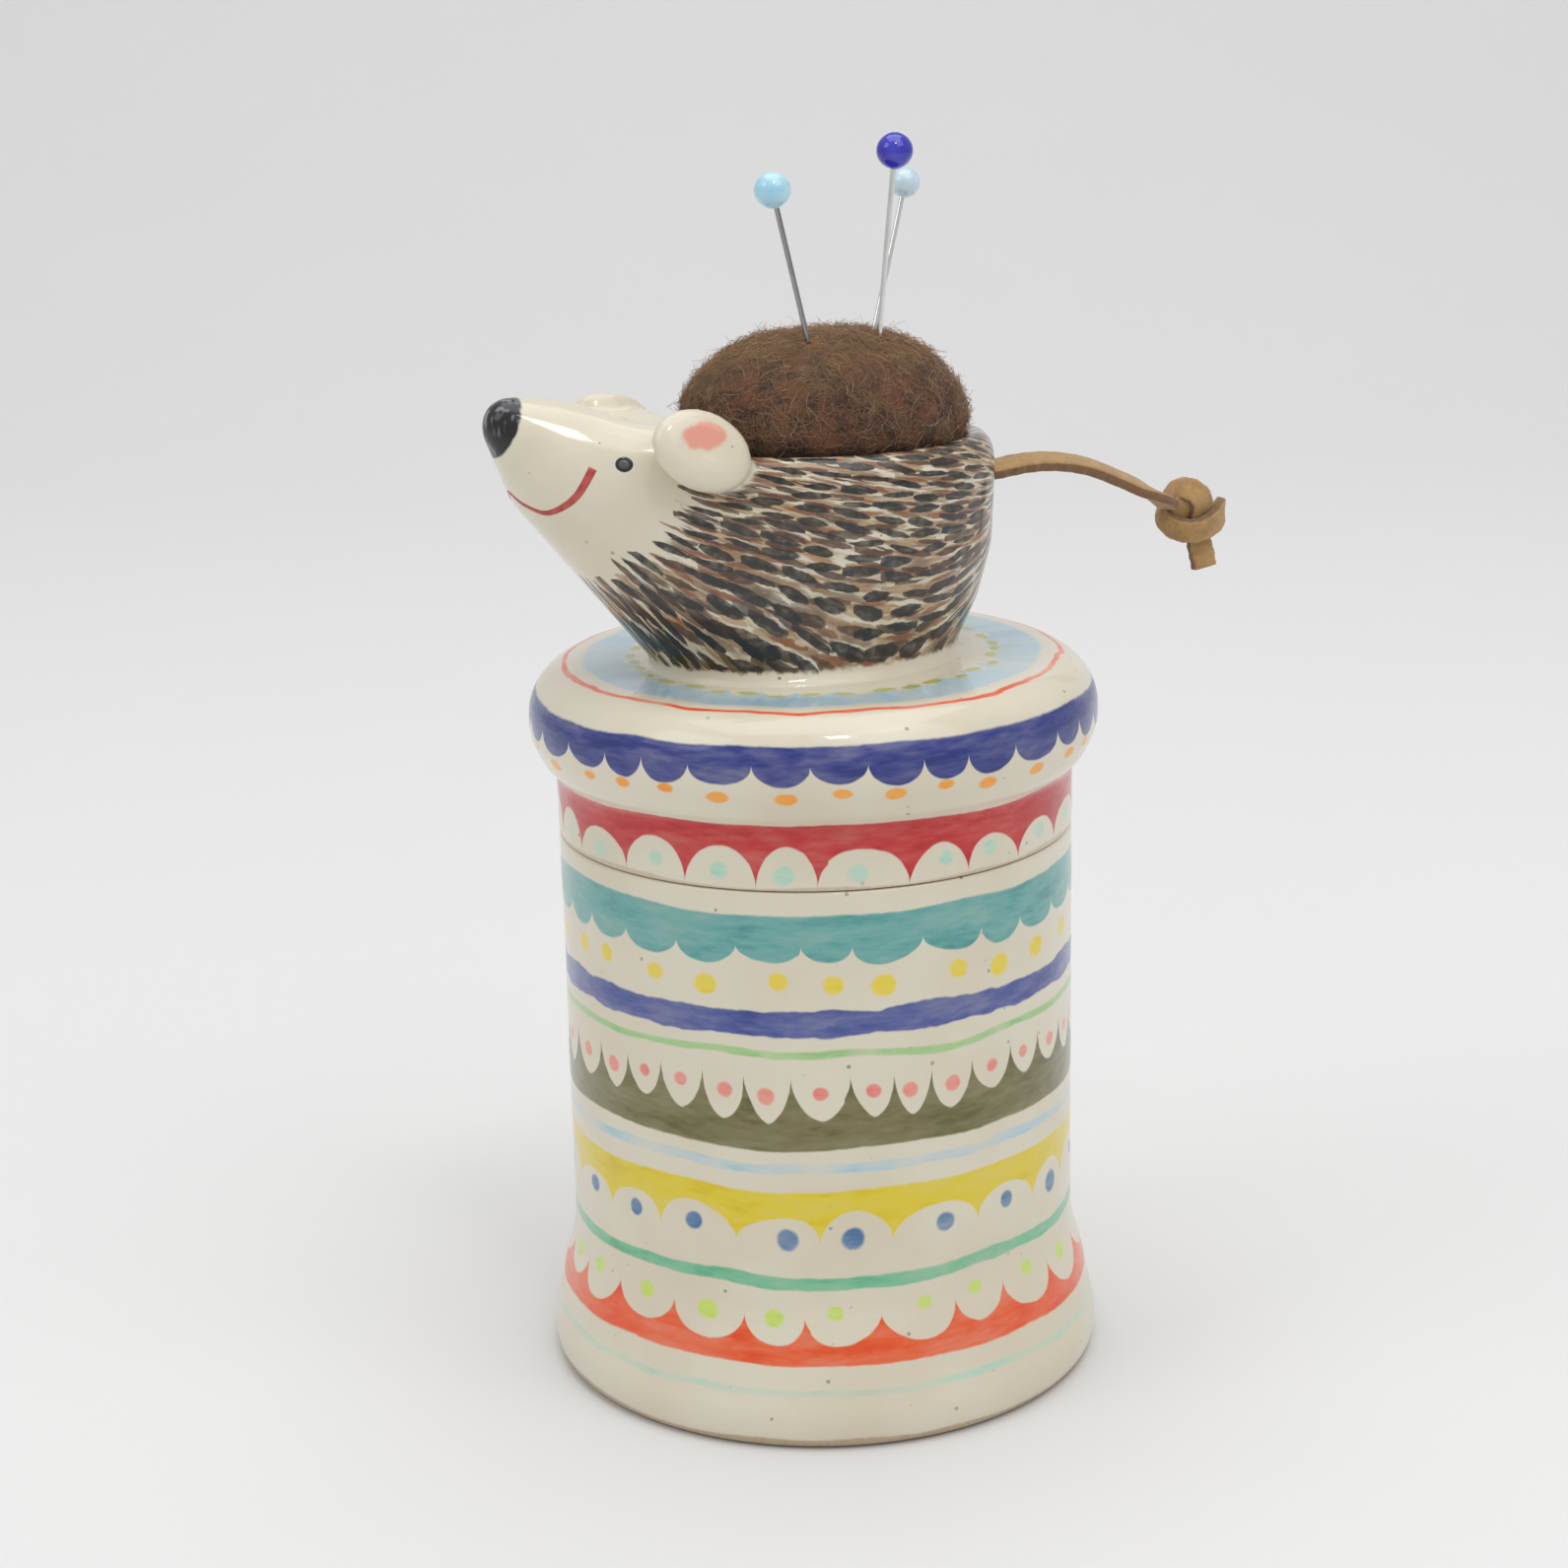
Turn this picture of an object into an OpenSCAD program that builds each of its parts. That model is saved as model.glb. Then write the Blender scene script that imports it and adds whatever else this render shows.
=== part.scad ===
// Hedgehog pin cushion on the lid of a small stoneware notions jar.
// Millimetres, +Z up. The origin is on the jar's axis, on the surface that it stands on.
// The hedgehog looks towards -X, turned a little towards -Y. Its own frame has its snout along -X.

/* [Jar] */
// Outer radius of the jar's straight wall
jar_r = 29.5; // [27:0.5:36]
// Height of the jar's seat, where the lid rests
jar_h = 64; // [48:1:80]
// Thickness of the thrown wall
jar_wall = 4; // [3:0.2:5]
// Thickness of the jar's floor
jar_floor = 5; // [3.5:0.5:8]
// How far the foot roll stands out from the wall
foot_spread = 2.8; // [1.5:0.1:4]
// Height at which the foot's flare has died away
foot_h = 16; // [10:1:22]

/* [Lid] */
// Height of the lid from its seat to its flat top
lid_h = 19.5; // [16:0.5:25]
// Height of the straight skirt under the flange
skirt_h = 7; // [5:0.5:9]
// How far the flange stands out from the wall
flange_spread = 2.8; // [1.5:0.1:4]
// Radius of the flange's rounded top edge
flange_round = 6; // [4:0.5:7]
// Thickness of the lid's top
lid_top = 4.5; // [3:0.5:6]
// Gap that the glaze-free seat leaves between jar and lid
seat_gap = 0.1; // [0.05:0.05:0.3]

/* [Locating ring] */
// Gap between the ring and the jar's mouth
mouth_gap = 0.6; // [0.4:0.1:1.2]
// Thickness of the ring
ring_wall = 3; // [2:0.2:4]
// Depth to which the ring hangs into the jar
ring_drop = 6; // [4:0.5:10]
// Running clearance between the ring and the lid's rebate
ring_fit = 0.05; // [0.02:0.01:0.1]

/* [Hedgehog] */
// Angle by which the hedgehog is turned on the lid
heading = 24; // [0:1:45]
// Distance from the jar's axis to the bowl's axis
bowl_x = 2; // [0:0.5:4]
// Height of the bowl's lip above the lid
bowl_h = 24.7; // [20:0.5:30]
// Half of the bowl's outer length, nose to tail
bowl_len = 19.6; // [16:0.2:23.6]
// Half of the bowl's outer width
bowl_wid = 16.2; // [13.4:0.2:19.6]
// Thickness of the bowl's lip
lip_wall = 3; // [2.4:0.2:3.6]
// Thickness of the bowl's floor
bowl_floor = 4; // [3:0.5:6]
// Distance from the bowl's axis to the tip of the nose
nose_reach = 40; // [35:0.5:46]
// Height of the nose above the bowl's lip
nose_lift = 4; // [0:0.5:6]
// Radius of the nose
nose_r = 3.2; // [2.5:0.1:4]
// Length of an ear
ear_len = 11.5; // [8:0.5:14]
// Height of an ear
ear_high = 8.8; // [6:0.5:11]
// Thickness of an ear
ear_thick = 3.4; // [2.4:0.2:4.5]

/* [Cushion] */
// Height of the wool dome above the bowl's lip
dome_rise = 12.2; // [9:0.5:16]
// Thickness of the felted cover
cover_wall = 1.6; // [1.2:0.1:2.4]
// Gap between the cushion and the bowl
cushion_gap = 0.2; // [0.1:0.05:0.5]
// Thickness of the glue bed under the cushion
glue_thick = 1.2; // [0.6:0.1:2]
// Width of the cover's flat underside, round its gathered opening
gather_rim = 1.5; // [1:0.1:2.5]
// Thickness of the gathering thread
thread_d = 0.8; // [0.5:0.1:1.2]

/* [Tail] */
// Width of the suede lace
lace_w = 3; // [2:0.2:4]
// Thickness of the suede lace
lace_t = 2; // [1.5:0.1:2.4]
// Gap between the lace and its hole
lace_gap = 0.25; // [0.15:0.05:0.4]
// Diameter of the knots tied in the lace
knot_d = 6.8; // [6:0.2:8]

/* [Pins] */
// Diameter of a glass pin head
pin_head_d = 4; // [3:0.2:5]
// Diameter of a pin's steel shaft
pin_shaft_d = 0.6; // [0.5:0.05:0.8]
// Length of a pin from the top of its head to its point
pin_len = 34; // [30:1:38]
// Radial clearance of the path that a pin makes in the wool
pin_fit = 0.08; // [0.05:0.01:0.1]
// Travel that pushes a pin further in
pin_push = 11; // [4:0.5:12]

/* [Hidden] */
$fn = 96;
smooth = 32;      // facets of the freely modelled clay and wool
oval_facets = 48; // facets round the bowl and the cushion
far = 200;        // longer than anything that is cut

// Heights
seat_z = jar_h + seat_gap;
top_z = jar_h + lid_h;
skirt_z = seat_z + skirt_h;
rebate_z = seat_z + skirt_h - 1;
lip_z = top_z + bowl_h;
floor_z = top_z + bowl_floor;
cushion_z = floor_z + glue_thick;

// Radii
mouth_r = jar_r - jar_wall;
ring_r = mouth_r - mouth_gap;
foot_r = jar_r + foot_spread;
flange_r = jar_r + flange_spread;

// The bowl and the cushion are one oval, stretched along the hedgehog's X
stretch = bowl_len / bowl_wid;
well_r = bowl_wid - lip_wall;
well_floor_r = well_r - 5;
underside_r = well_floor_r - cushion_gap - 2;
gather_r = underside_r - gather_rim;
dome_z = lip_z + 1.8;
dome_h = lip_z + dome_rise - dome_z;
cushion_r = well_r - cushion_gap;

// The tail's hole, just under the lip
tail_z = lip_z - 5.7;
wall_x = bowl_len;
well_x = well_r * stretch;
knot_in_x = well_x * sqrt(1 - pow(0.3 * knot_d / well_r, 2)) - knot_d / 4 - 0.1;

// Route of the lace's middle from the stopper knot to the end knot, [x, z] from its hole's mouth
lace_route = [[-5, -0.5], [-3, -0.3], [-1, -0.1], [2, 0.1], [5, 0.4], [8, 0.4], [11, 0], [14, -0.8],
              [17.5, -2.3], [21, -4], [24, -5.7], [25.4, -6.4]];
knot_out = [27.8, -7.4];
lace_tip = [30.2, -14.2];

// Each pin: entry x and y from the bowl's axis, lean x and y for each unit of height, shaft showing
pin_light_blue = [-4, -4.8, -0.22, 0.03, 16.9];
pin_dark_blue = [5, -3.8, 0.09, -0.04, 20];
pin_pale = [6.2, 0, 0.35, 0.19, 16.8];

// Points of an arc about c, from angle a to angle b
function arc(c, r, a, b, n) = [for (i = [0:n]) let (t = a + (b - a) * i / n) c + r * [cos(t), sin(t)]];
function unit(v) = v / norm(v);

// Height of the dome over a point of the bowl's plane
function dome_at(x, y) =
    dome_z + dome_h * sqrt(max(0, 1 - pow(x / (cushion_r * stretch), 2) - pow(y / cushion_r, 2)));
function pin_axis(p) = unit([p[2], p[3], 1]);
function pin_head(p) = [p[0], p[1], dome_at(p[0], p[1])] + p[4] * pin_axis(p);

// Sets what is modelled in the hedgehog's own frame in its place on the lid
module on_lid() {
    translate([bowl_x, 0, 0]) rotate([0, 0, heading]) children();
}

// Lays a shape's Z along an axis, its origin at a point
module along(point, axis) {
    translate(point)
        rotate([0, acos(axis[2]), atan2(axis[1], axis[0])])
            children();
}

module turned(outline) {
    rotate_extrude() polygon(outline);
}

// A round, outward-curving outline turned and stretched to the bowl's oval
module oval(outline) {
    hull() scale([stretch, 1, 1]) rotate_extrude($fn = oval_facets) polygon(outline);
}

// ---- jar ----
module jar() {
    foot_round = 2.6;
    flare_z = 4;
    rim_round = 0.8;
    well_round = 5;
    flare = [for (i = [0:8]) let (t = i / 8)
        [jar_r + foot_spread * (0.5 + 0.5 * cos(180 * t)), flare_z + (foot_h - flare_z) * t]];
    outside = concat(
        [[0, 0], [foot_r - 1.2, 0]],
        arc([foot_r - foot_round, foot_round], foot_round, -50, 0, 6),
        flare,
        arc([jar_r - rim_round, jar_h - rim_round], rim_round, 0, 90, 4));
    inside = concat(
        arc([mouth_r + rim_round, jar_h - rim_round], rim_round, 90, 180, 4),
        arc([mouth_r - well_round, jar_floor + well_round], well_round, 0, -90, 6),
        [[0, jar_floor]]);
    color("ivory") turned(concat(outside, inside));
}

// ---- lid ----
module lid() {
    edge = 0.6;
    belly_z = top_z - flange_round;
    under_z = skirt_z + 0.6;
    under = [for (i = [0:6]) let (t = 1 - i / 6)
        [flange_r - 0.6 * flange_spread * t * t, belly_z - (belly_z - under_z) * t]];
    outside = concat(
        [[ring_r + ring_fit, seat_z], [jar_r - edge, seat_z]],
        [[jar_r, seat_z + edge], [jar_r, skirt_z]],
        under,
        arc([flange_r - flange_round, belly_z], flange_round, 10, 90, 8),
        [[0, top_z]]);
    inside_r = ring_r - ring_wall;
    inside_z = top_z - lid_top;
    hollow_round = 4;
    inside = concat(
        [[0, inside_z]],
        arc([inside_r - hollow_round, inside_z - hollow_round], hollow_round, 90, 0, 5),
        [[inside_r, rebate_z], [ring_r + ring_fit, rebate_z]]);
    color("cornflowerblue") turned(concat(outside, inside));
}

// The ring under the lid that drops into the jar's mouth
module lid_locating_ring() {
    edge = 0.8;
    low_z = jar_h - ring_drop;
    high_z = rebate_z - ring_fit;
    color("tan") turned([
        [ring_r - ring_wall, low_z + edge], [ring_r - ring_wall + edge, low_z],
        [ring_r - edge, low_z], [ring_r, low_z + edge],
        [ring_r, high_z], [ring_r - ring_wall, high_z]]);
}

// ---- hedgehog ----
// Hollow left for the cushion
module bowl_well() {
    oval(concat(
        [[0, floor_z], [well_floor_r - 3, floor_z]],
        arc([well_floor_r - 3, floor_z + 3], 3, -90, -30, 4),
        [[well_r, lip_z - 7], [well_r, lip_z + far], [0, lip_z + far]]));
}

// Solid outer form: a bowl drawn out into a snout
module hedgehog_form() {
    nose_x = nose_r - nose_reach;
    nose_z = lip_z + nose_lift;
    hull() {
        translate([-3, 0, 0]) oval([[0, top_z], [bowl_wid - 2, top_z], [0, top_z + 1]]);
        oval([[0, top_z + 6], [bowl_wid - 1.8, top_z + 6], [bowl_wid - 0.4, top_z + 12],
              [bowl_wid, lip_z - 4], [bowl_wid - 0.2, lip_z - 1.5], [bowl_wid - 1.2, lip_z], [0, lip_z]]);
        translate([3.6 - bowl_len, 0, lip_z - 10.4]) sphere(r = 12.2, $fn = smooth);
        for (side = [-1, 1]) translate([2 - bowl_len, side * 4.5, lip_z - 6.2]) sphere(r = 8, $fn = smooth);
        translate([nose_x + 6.3, 0, nose_z - 4.8]) sphere(r = 7.2, $fn = smooth);
        translate([nose_x, 0, nose_z]) sphere(r = nose_r, $fn = smooth);
    }
}

module hedgehog_body() {
    brow_x = 1 - bowl_len;
    color("linen") on_lid() difference() {
        hedgehog_form();
        bowl_well();
        translate([brow_x, -far / 2, lip_z]) cube([far, far, far]);
        translate([-far / 2, -far / 2, top_z - far]) cube([far, far, far]);
        along([well_x - 4, 0, tail_z], [1, 0, 0])
            cylinder(h = far, r = lace_w / 2 + lace_gap, $fn = 32);
    }
}

// A thick oval disc of clay, lying in its own XY plane
module ear() {
    edge = ear_thick / 2;
    color("burlywood") hull() scale([ear_len / ear_high, 1, 1])
        rotate_extrude($fn = smooth)
            polygon(concat([[0, -edge]], arc([ear_high / 2 - edge, 0], edge, -90, 90, 8), [[0, edge]]));
}

// Ear on one side of the head: side is -1 on the left and 1 on the right
module placed_ear(side) {
    on_lid() translate([-bowl_len - 1, side * (bowl_wid - 3.4), lip_z + 1.5])
        rotate([0, 24, side * 6]) rotate([90 + side * 24, 0, 0]) ear();
}

module left_ear() { placed_ear(-1); }
module right_ear() { placed_ear(1); }

// ---- cushion ----
// Dome and plug of the cushion, drawn in by inset all round, with the dent that the stopper knot makes
module cushion_form(inset) {
    r = cushion_r - inset;
    low_r = underside_r + 2 - inset;
    low_z = cushion_z + inset;
    dome = [for (i = [0:12]) let (t = i * 7.5)
        [r * cos(t), dome_z + (dome_h - inset) * sin(t)]];
    difference() {
        oval(concat([[0, low_z], [low_r - 2, low_z], [low_r, low_z + 2], [r, lip_z - 6.5]], dome));
        translate([knot_in_x, 0, tail_z])
            scale([0.5, 1, 1]) sphere(d = knot_d + 0.6 + 2 * inset, $fn = smooth);
        translate([knot_in_x, 0, tail_z]) along([0, 0, 0], [1, 0, 0])
            cylinder(h = far, d = knot_d + 0.6 + 2 * inset, $fn = smooth);
    }
}

// Paths of the three pins, for their whole travel
module pin_paths() {
    for (p = [pin_light_blue, pin_dark_blue, pin_pale])
        along(pin_head(p), -pin_axis(p))
            cylinder(h = pin_len + pin_push, d = pin_shaft_d + 2 * pin_fit, $fn = 24);
}

module cushion_cover() {
    color("saddlebrown") on_lid() difference() {
        cushion_form(0);
        cushion_form(cover_wall);
        translate([0, 0, cushion_z - 1]) cylinder(h = cover_wall + 2, r = gather_r);
        pin_paths();
    }
}

module cushion_stuffing() {
    color("wheat") on_lid() difference() {
        cushion_form(cover_wall + 0.1);
        pin_paths();
    }
}

// Thread drawn round the gathered edge of the cover
module gathering_thread() {
    color("black") on_lid() translate([0, 0, cushion_z + cover_wall / 2])
        rotate_extrude() translate([gather_r - thread_d / 2 - 0.1, 0]) circle(d = thread_d, $fn = 16);
}

module cushion_adhesive() {
    color("gainsboro") on_lid() translate([0, 0, floor_z])
        cylinder(h = glue_thick, r = underside_r - 0.9);
}

// ---- tail ----
module lace_tube(points) {
    sides = 8;
    n = len(points);
    section = [for (k = [0:sides - 1]) let (t = 45 * k + 22.5) [lace_w * cos(t), lace_t * sin(t)] / 2];
    rings = [for (i = [0:n - 1])
        let (run = unit(points[min(i + 1, n - 1)] - points[max(i - 1, 0)]))
        [for (s = section) [points[i][0] - s[1] * run[1], s[0], points[i][1] + s[1] * run[0]]]];
    ends = [[for (k = [0:sides - 1]) k], [for (k = [sides - 1:-1:0]) (n - 1) * sides + k]];
    walls = [for (i = [0:n - 2], k = [0:sides - 1]) let (m = (k + 1) % sides)
        each [[i * sides + k, (i + 1) * sides + k, (i + 1) * sides + m],
              [i * sides + k, (i + 1) * sides + m, i * sides + m]]];
    polyhedron([for (ring = rings) each ring], concat(ends, walls));
}

module tail_lace() {
    color("peru") on_lid() translate([wall_x, 0, tail_z])
        difference() {
            lace_tube(lace_route);
            translate([knot_in_x - wall_x, 0, 0])
                scale([0.5, 1, 1]) sphere(d = knot_d, $fn = smooth);
        }
}

module tail_end_knot() {
    fall = unit(lace_tip - knot_out);
    color("peru") on_lid() translate([wall_x, 0, tail_z]) union() {
        translate([knot_out[0], 0, knot_out[1]]) scale([0.92, 0.85, 1]) sphere(d = knot_d, $fn = smooth);
        lace_tube([knot_out + 2 * fall, knot_out + 4 * fall, lace_tip]);
    }
}

module tail_stopper_knot() {
    color("peru") on_lid() translate([knot_in_x, 0, tail_z])
        scale([0.5, 1, 1]) sphere(d = knot_d, $fn = smooth);
}

// ---- pins ----
// A glass ball with a blind hole for its shaft
module pin_head_ball(p, shade) {
    r = pin_head_d / 2;
    color(shade) on_lid() along(pin_head(p), -pin_axis(p))
        rotate_extrude() difference() {
            intersection() {
                circle(r = r);
                translate([0, -r]) square([r, 2 * r]);
            }
            square([pin_shaft_d / 2, 2 * r]);
        }
}

module pin_shaft(p) {
    point = 2;
    straight = pin_len - pin_head_d / 2 - point;
    color("silver") on_lid() along(pin_head(p), -pin_axis(p)) {
        cylinder(h = straight, d = pin_shaft_d, $fn = 24);
        translate([0, 0, straight]) cylinder(h = point, d1 = pin_shaft_d, d2 = 0.1, $fn = 24);
    }
}

module pin_head_light_blue() { pin_head_ball(pin_light_blue, "deepskyblue"); }
module pin_head_dark_blue() { pin_head_ball(pin_dark_blue, "royalblue"); }
module pin_head_pale() { pin_head_ball(pin_pale, "lightsteelblue"); }
module pin_shaft_light_blue() { pin_shaft(pin_light_blue); }
module pin_shaft_dark_blue() { pin_shaft(pin_dark_blue); }
module pin_shaft_pale() { pin_shaft(pin_pale); }

jar();
lid();
lid_locating_ring();
hedgehog_body();
left_ear();
right_ear();
cushion_cover();
cushion_stuffing();
gathering_thread();
cushion_adhesive();
tail_lace();
tail_end_knot();
tail_stopper_knot();
pin_head_light_blue();
pin_shaft_light_blue();
pin_head_dark_blue();
pin_shaft_dark_blue();
pin_head_pale();
pin_shaft_pale();
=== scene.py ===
import math
import random

import bpy
import numpy as np
from mathutils import Matrix, Vector
from mathutils.bvhtree import BVHTree


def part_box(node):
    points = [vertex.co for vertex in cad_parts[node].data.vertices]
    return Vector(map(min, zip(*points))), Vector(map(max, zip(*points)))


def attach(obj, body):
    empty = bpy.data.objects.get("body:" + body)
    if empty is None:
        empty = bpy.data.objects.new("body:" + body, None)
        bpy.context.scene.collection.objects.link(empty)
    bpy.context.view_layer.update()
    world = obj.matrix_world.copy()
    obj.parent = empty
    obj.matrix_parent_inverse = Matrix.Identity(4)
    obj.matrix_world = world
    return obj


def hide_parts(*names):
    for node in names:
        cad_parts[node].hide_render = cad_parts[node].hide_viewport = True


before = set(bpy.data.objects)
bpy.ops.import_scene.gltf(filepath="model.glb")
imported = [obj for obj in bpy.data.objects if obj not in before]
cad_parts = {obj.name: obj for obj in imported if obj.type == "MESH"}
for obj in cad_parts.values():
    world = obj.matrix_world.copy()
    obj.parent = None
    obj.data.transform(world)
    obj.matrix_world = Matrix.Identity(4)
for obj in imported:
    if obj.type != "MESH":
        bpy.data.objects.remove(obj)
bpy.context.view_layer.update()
mm = 0.001  # Blender works in metres, the maker in millimetres

lidTop = 83.5
stance = {"turn": 24.0, "forward": 2.0}  # how the hedgehog stands on the lid, degrees and mm
ownFrame = Matrix.Rotation(math.radians(stance["turn"]), 4, "Z")
ownFrame = Matrix.Translation((stance["forward"] * mm, 0, 0)) @ ownFrame


def own(x, y, z):
    return ownFrame @ Vector((x * mm, y * mm, z * mm))


def addPiece(name, points, faces, material=None, smooth=True):
    mesh = bpy.data.meshes.new(name)
    mesh.from_pydata([tuple(p) for p in points], [], faces)
    mesh.validate()
    if smooth:
        mesh.shade_smooth()
    piece = bpy.data.objects.new(name, mesh)
    bpy.context.scene.collection.objects.link(piece)
    if material:
        mesh.materials.append(material)
    return piece


def wall(rows, around):
    # the faces between rows of points that each run once round a form
    faces = []
    for k in range(rows - 1):
        for i in range(around):
            j = (i + 1) % around
            faces.append((k * around + i, k * around + j, (k + 1) * around + j, (k + 1) * around + i))
    return faces


def flatEnds(rows, around):
    # closes the first and the last row with a flat face
    return [tuple(range(around))[::-1], tuple((rows - 1) * around + i for i in range(around))]


def pointedEnds(rows, around):
    # closes the first and the last row on the two points that follow all the rows
    low, high, last = rows * around, rows * around + 1, (rows - 1) * around
    faces = []
    for i in range(around):
        j = (i + 1) % around
        faces += [(low, j, i), (high, last + i, last + j)]
    return faces


def smoothLine(points, steps):
    # a smooth curve that passes through every point
    line = []
    for i in range(len(points) - 1):
        a, b = points[i], points[i + 1]
        before, after = points[max(i - 1, 0)], points[min(i + 2, len(points) - 1)]
        for k in range(steps):
            t = k / steps
            bend = (2 * before - 5 * a + 4 * b - after) * t * t + (3 * a - before - 3 * b + after) * t ** 3
            line.append(0.5 * (2 * a + (b - before) * t + bend))
    return line + [points[-1]]


def dress(node, material):
    # gives a solid that keeps its own shape its finish
    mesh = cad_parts[node].data
    mesh.materials.clear()
    mesh.materials.append(material)


def feed(tree, value, socket):
    if isinstance(value, bpy.types.NodeSocket):
        tree.links.new(value, socket)
    else:
        socket.default_value = value


def put(tree, kind, inputs=None, **settings):
    node = tree.nodes.new(kind)
    for key, value in settings.items():
        setattr(node, key, value)
    for key, value in (inputs or {}).items():
        feed(tree, value, node.inputs[key])
    return node


def calc(tree, operation, a, b=0.0, c=0.0):
    return put(tree, "ShaderNodeMath", {0: a, 1: b, 2: c}, operation=operation).outputs[0]


def times(tree, a, b):
    return calc(tree, "MULTIPLY", a, b)


def plus(tree, a, b):
    return calc(tree, "ADD", a, b)


def minus(tree, a, b):
    return calc(tree, "SUBTRACT", a, b)


def over(tree, a, b):
    return calc(tree, "DIVIDE", a, b)


def scaled(tree, a, factor, shift):
    return calc(tree, "MULTIPLY_ADD", a, factor, shift)


def turnVector(tree, operation, a, b=(0.0, 0.0, 0.0), out=0):
    return put(tree, "ShaderNodeVectorMath", {0: a, 1: b}, operation=operation).outputs[out]


def stretch(tree, vector, factor):
    return put(tree, "ShaderNodeVectorMath", {0: vector, 3: factor}, operation="SCALE").outputs[0]


def together(tree, x=0.0, y=0.0, z=0.0):
    return put(tree, "ShaderNodeCombineXYZ", {0: x, 1: y, 2: z}).outputs[0]


def apart(tree, vector):
    return put(tree, "ShaderNodeSeparateXYZ", {0: vector}).outputs


def marked(tree, name):
    # a number that the mesh carries on its points
    return put(tree, "ShaderNodeAttribute", attribute_name=name).outputs["Fac"]


def ramp(tree, value, low, high, start=0.0, end=1.0):
    inputs = {0: value, 1: low, 2: high, 3: start, 4: end}
    return put(tree, "ShaderNodeMapRange", inputs, interpolation_type="SMOOTHSTEP").outputs[0]


def mixColour(tree, factor, a, b):
    return put(tree, "ShaderNodeMix", {0: factor, 6: a, 7: b}, data_type="RGBA").outputs[2]


def noise(tree, place, scale, detail=2.0, rough=0.5, out=0):
    inputs = {"Vector": place, "Scale": scale, "Detail": detail, "Roughness": rough}
    return put(tree, "ShaderNodeTexNoise", inputs).outputs[out]


def rgb(r, g, b):
    return (r, g, b, 1.0)


def newGroup(name, inputs, outputs):
    # socket labels are numbers, unless they are one of these
    kinds = {label: "NodeSocketColor" for label in ("Colour", "Under", "Paint", "Cream", "Warm")}
    kinds["Spot"] = "NodeSocketVector"
    group = bpy.data.node_groups.new(name, "ShaderNodeTree")
    for labels, way in ((inputs, "INPUT"), (outputs, "OUTPUT")):
        for label in labels.split():
            group.interface.new_socket(label, in_out=way, socket_type=kinds.get(label, "NodeSocketFloat"))
    return group, group.nodes.new("NodeGroupInput").outputs, group.nodes.new("NodeGroupOutput").inputs


def useGroup(tree, group, inputs):
    node = tree.nodes.new("ShaderNodeGroup")
    node.node_tree = group
    for key, value in inputs.items():
        feed(tree, value, node.inputs[key])
    return node.outputs


def newMaterial(name, **shaderValues):
    material = bpy.data.materials.new(name)
    material.use_nodes = True
    tree = material.node_tree
    tree.nodes.clear()
    shader = tree.nodes.new("ShaderNodeBsdfPrincipled")
    output = tree.nodes.new("ShaderNodeOutputMaterial")
    tree.links.new(shader.outputs[0], output.inputs[0])
    for key, value in shaderValues.items():
        shader.inputs[key.replace("_", " ")].default_value = value
    return material, tree, shader


def addBump(tree, shader, height, strength, distance):
    inputs = {"Height": height, "Strength": strength, "Distance": distance}
    tree.links.new(put(tree, "ShaderNodeBump", inputs).outputs[0], shader.inputs["Normal"])


camera = {"back": 340.0, "up": 161.295, "down": 0.26785, "pan": -0.010356, "roll": -0.023172, "lens": 70.36}


def addCamera():
    down, pan, roll = camera["down"], camera["pan"], camera["roll"]
    ahead = Vector((math.cos(down) * math.sin(pan), math.cos(down) * math.cos(pan), -math.sin(down)))
    right = Vector((math.cos(pan), -math.sin(pan), 0))
    above = Vector((math.sin(down) * math.sin(pan), math.sin(down) * math.cos(pan), math.cos(down)))
    sideways = right * math.cos(roll) + above * math.sin(roll)
    upward = above * math.cos(roll) - right * math.sin(roll)
    data = bpy.data.cameras.new("studioCamera")
    data.lens = camera["lens"]
    data.sensor_width = 36
    data.clip_start = 0.01
    data.clip_end = 20
    thing = bpy.data.objects.new("studioCamera", data)
    bpy.context.scene.collection.objects.link(thing)
    turned = Matrix((sideways, upward, -ahead)).transposed().to_4x4()
    thing.matrix_world = Matrix.Translation((0, -camera["back"] * mm, camera["up"] * mm)) @ turned
    bpy.context.scene.camera = thing


addCamera()
print("camera in place")


def makePlace():
    # millimetre coordinates with a hand's waver: the turn round the axis, the height, and the spot itself
    group, given, out = newGroup("paintedPlace", "Waver", "Turn Height Spot")
    spot = put(group, "ShaderNodeTexCoord").outputs["Object"]
    spot = turnVector(group, "MULTIPLY", spot, (1000.0, 1000.0, 1000.0))
    slow = turnVector(group, "SUBTRACT", noise(group, spot, 0.07, 1.0, out=1), (0.5, 0.5, 0.5))
    quick = turnVector(group, "SUBTRACT", noise(group, spot, 0.7, 1.0, out=1), (0.5, 0.5, 0.5))
    slow = stretch(group, slow, times(group, given["Waver"], 4.4))
    quick = stretch(group, quick, times(group, given["Waver"], 0.55))
    moved = turnVector(group, "ADD", turnVector(group, "ADD", spot, slow), quick)
    x, y, z = apart(group, moved)
    angle = calc(group, "ARCTAN2", x, times(group, y, -1.0))
    feed(group, times(group, angle, 1 / (2 * math.pi)), out["Turn"])
    feed(group, z, out["Height"])
    feed(group, spot, out["Spot"])
    return group


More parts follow.
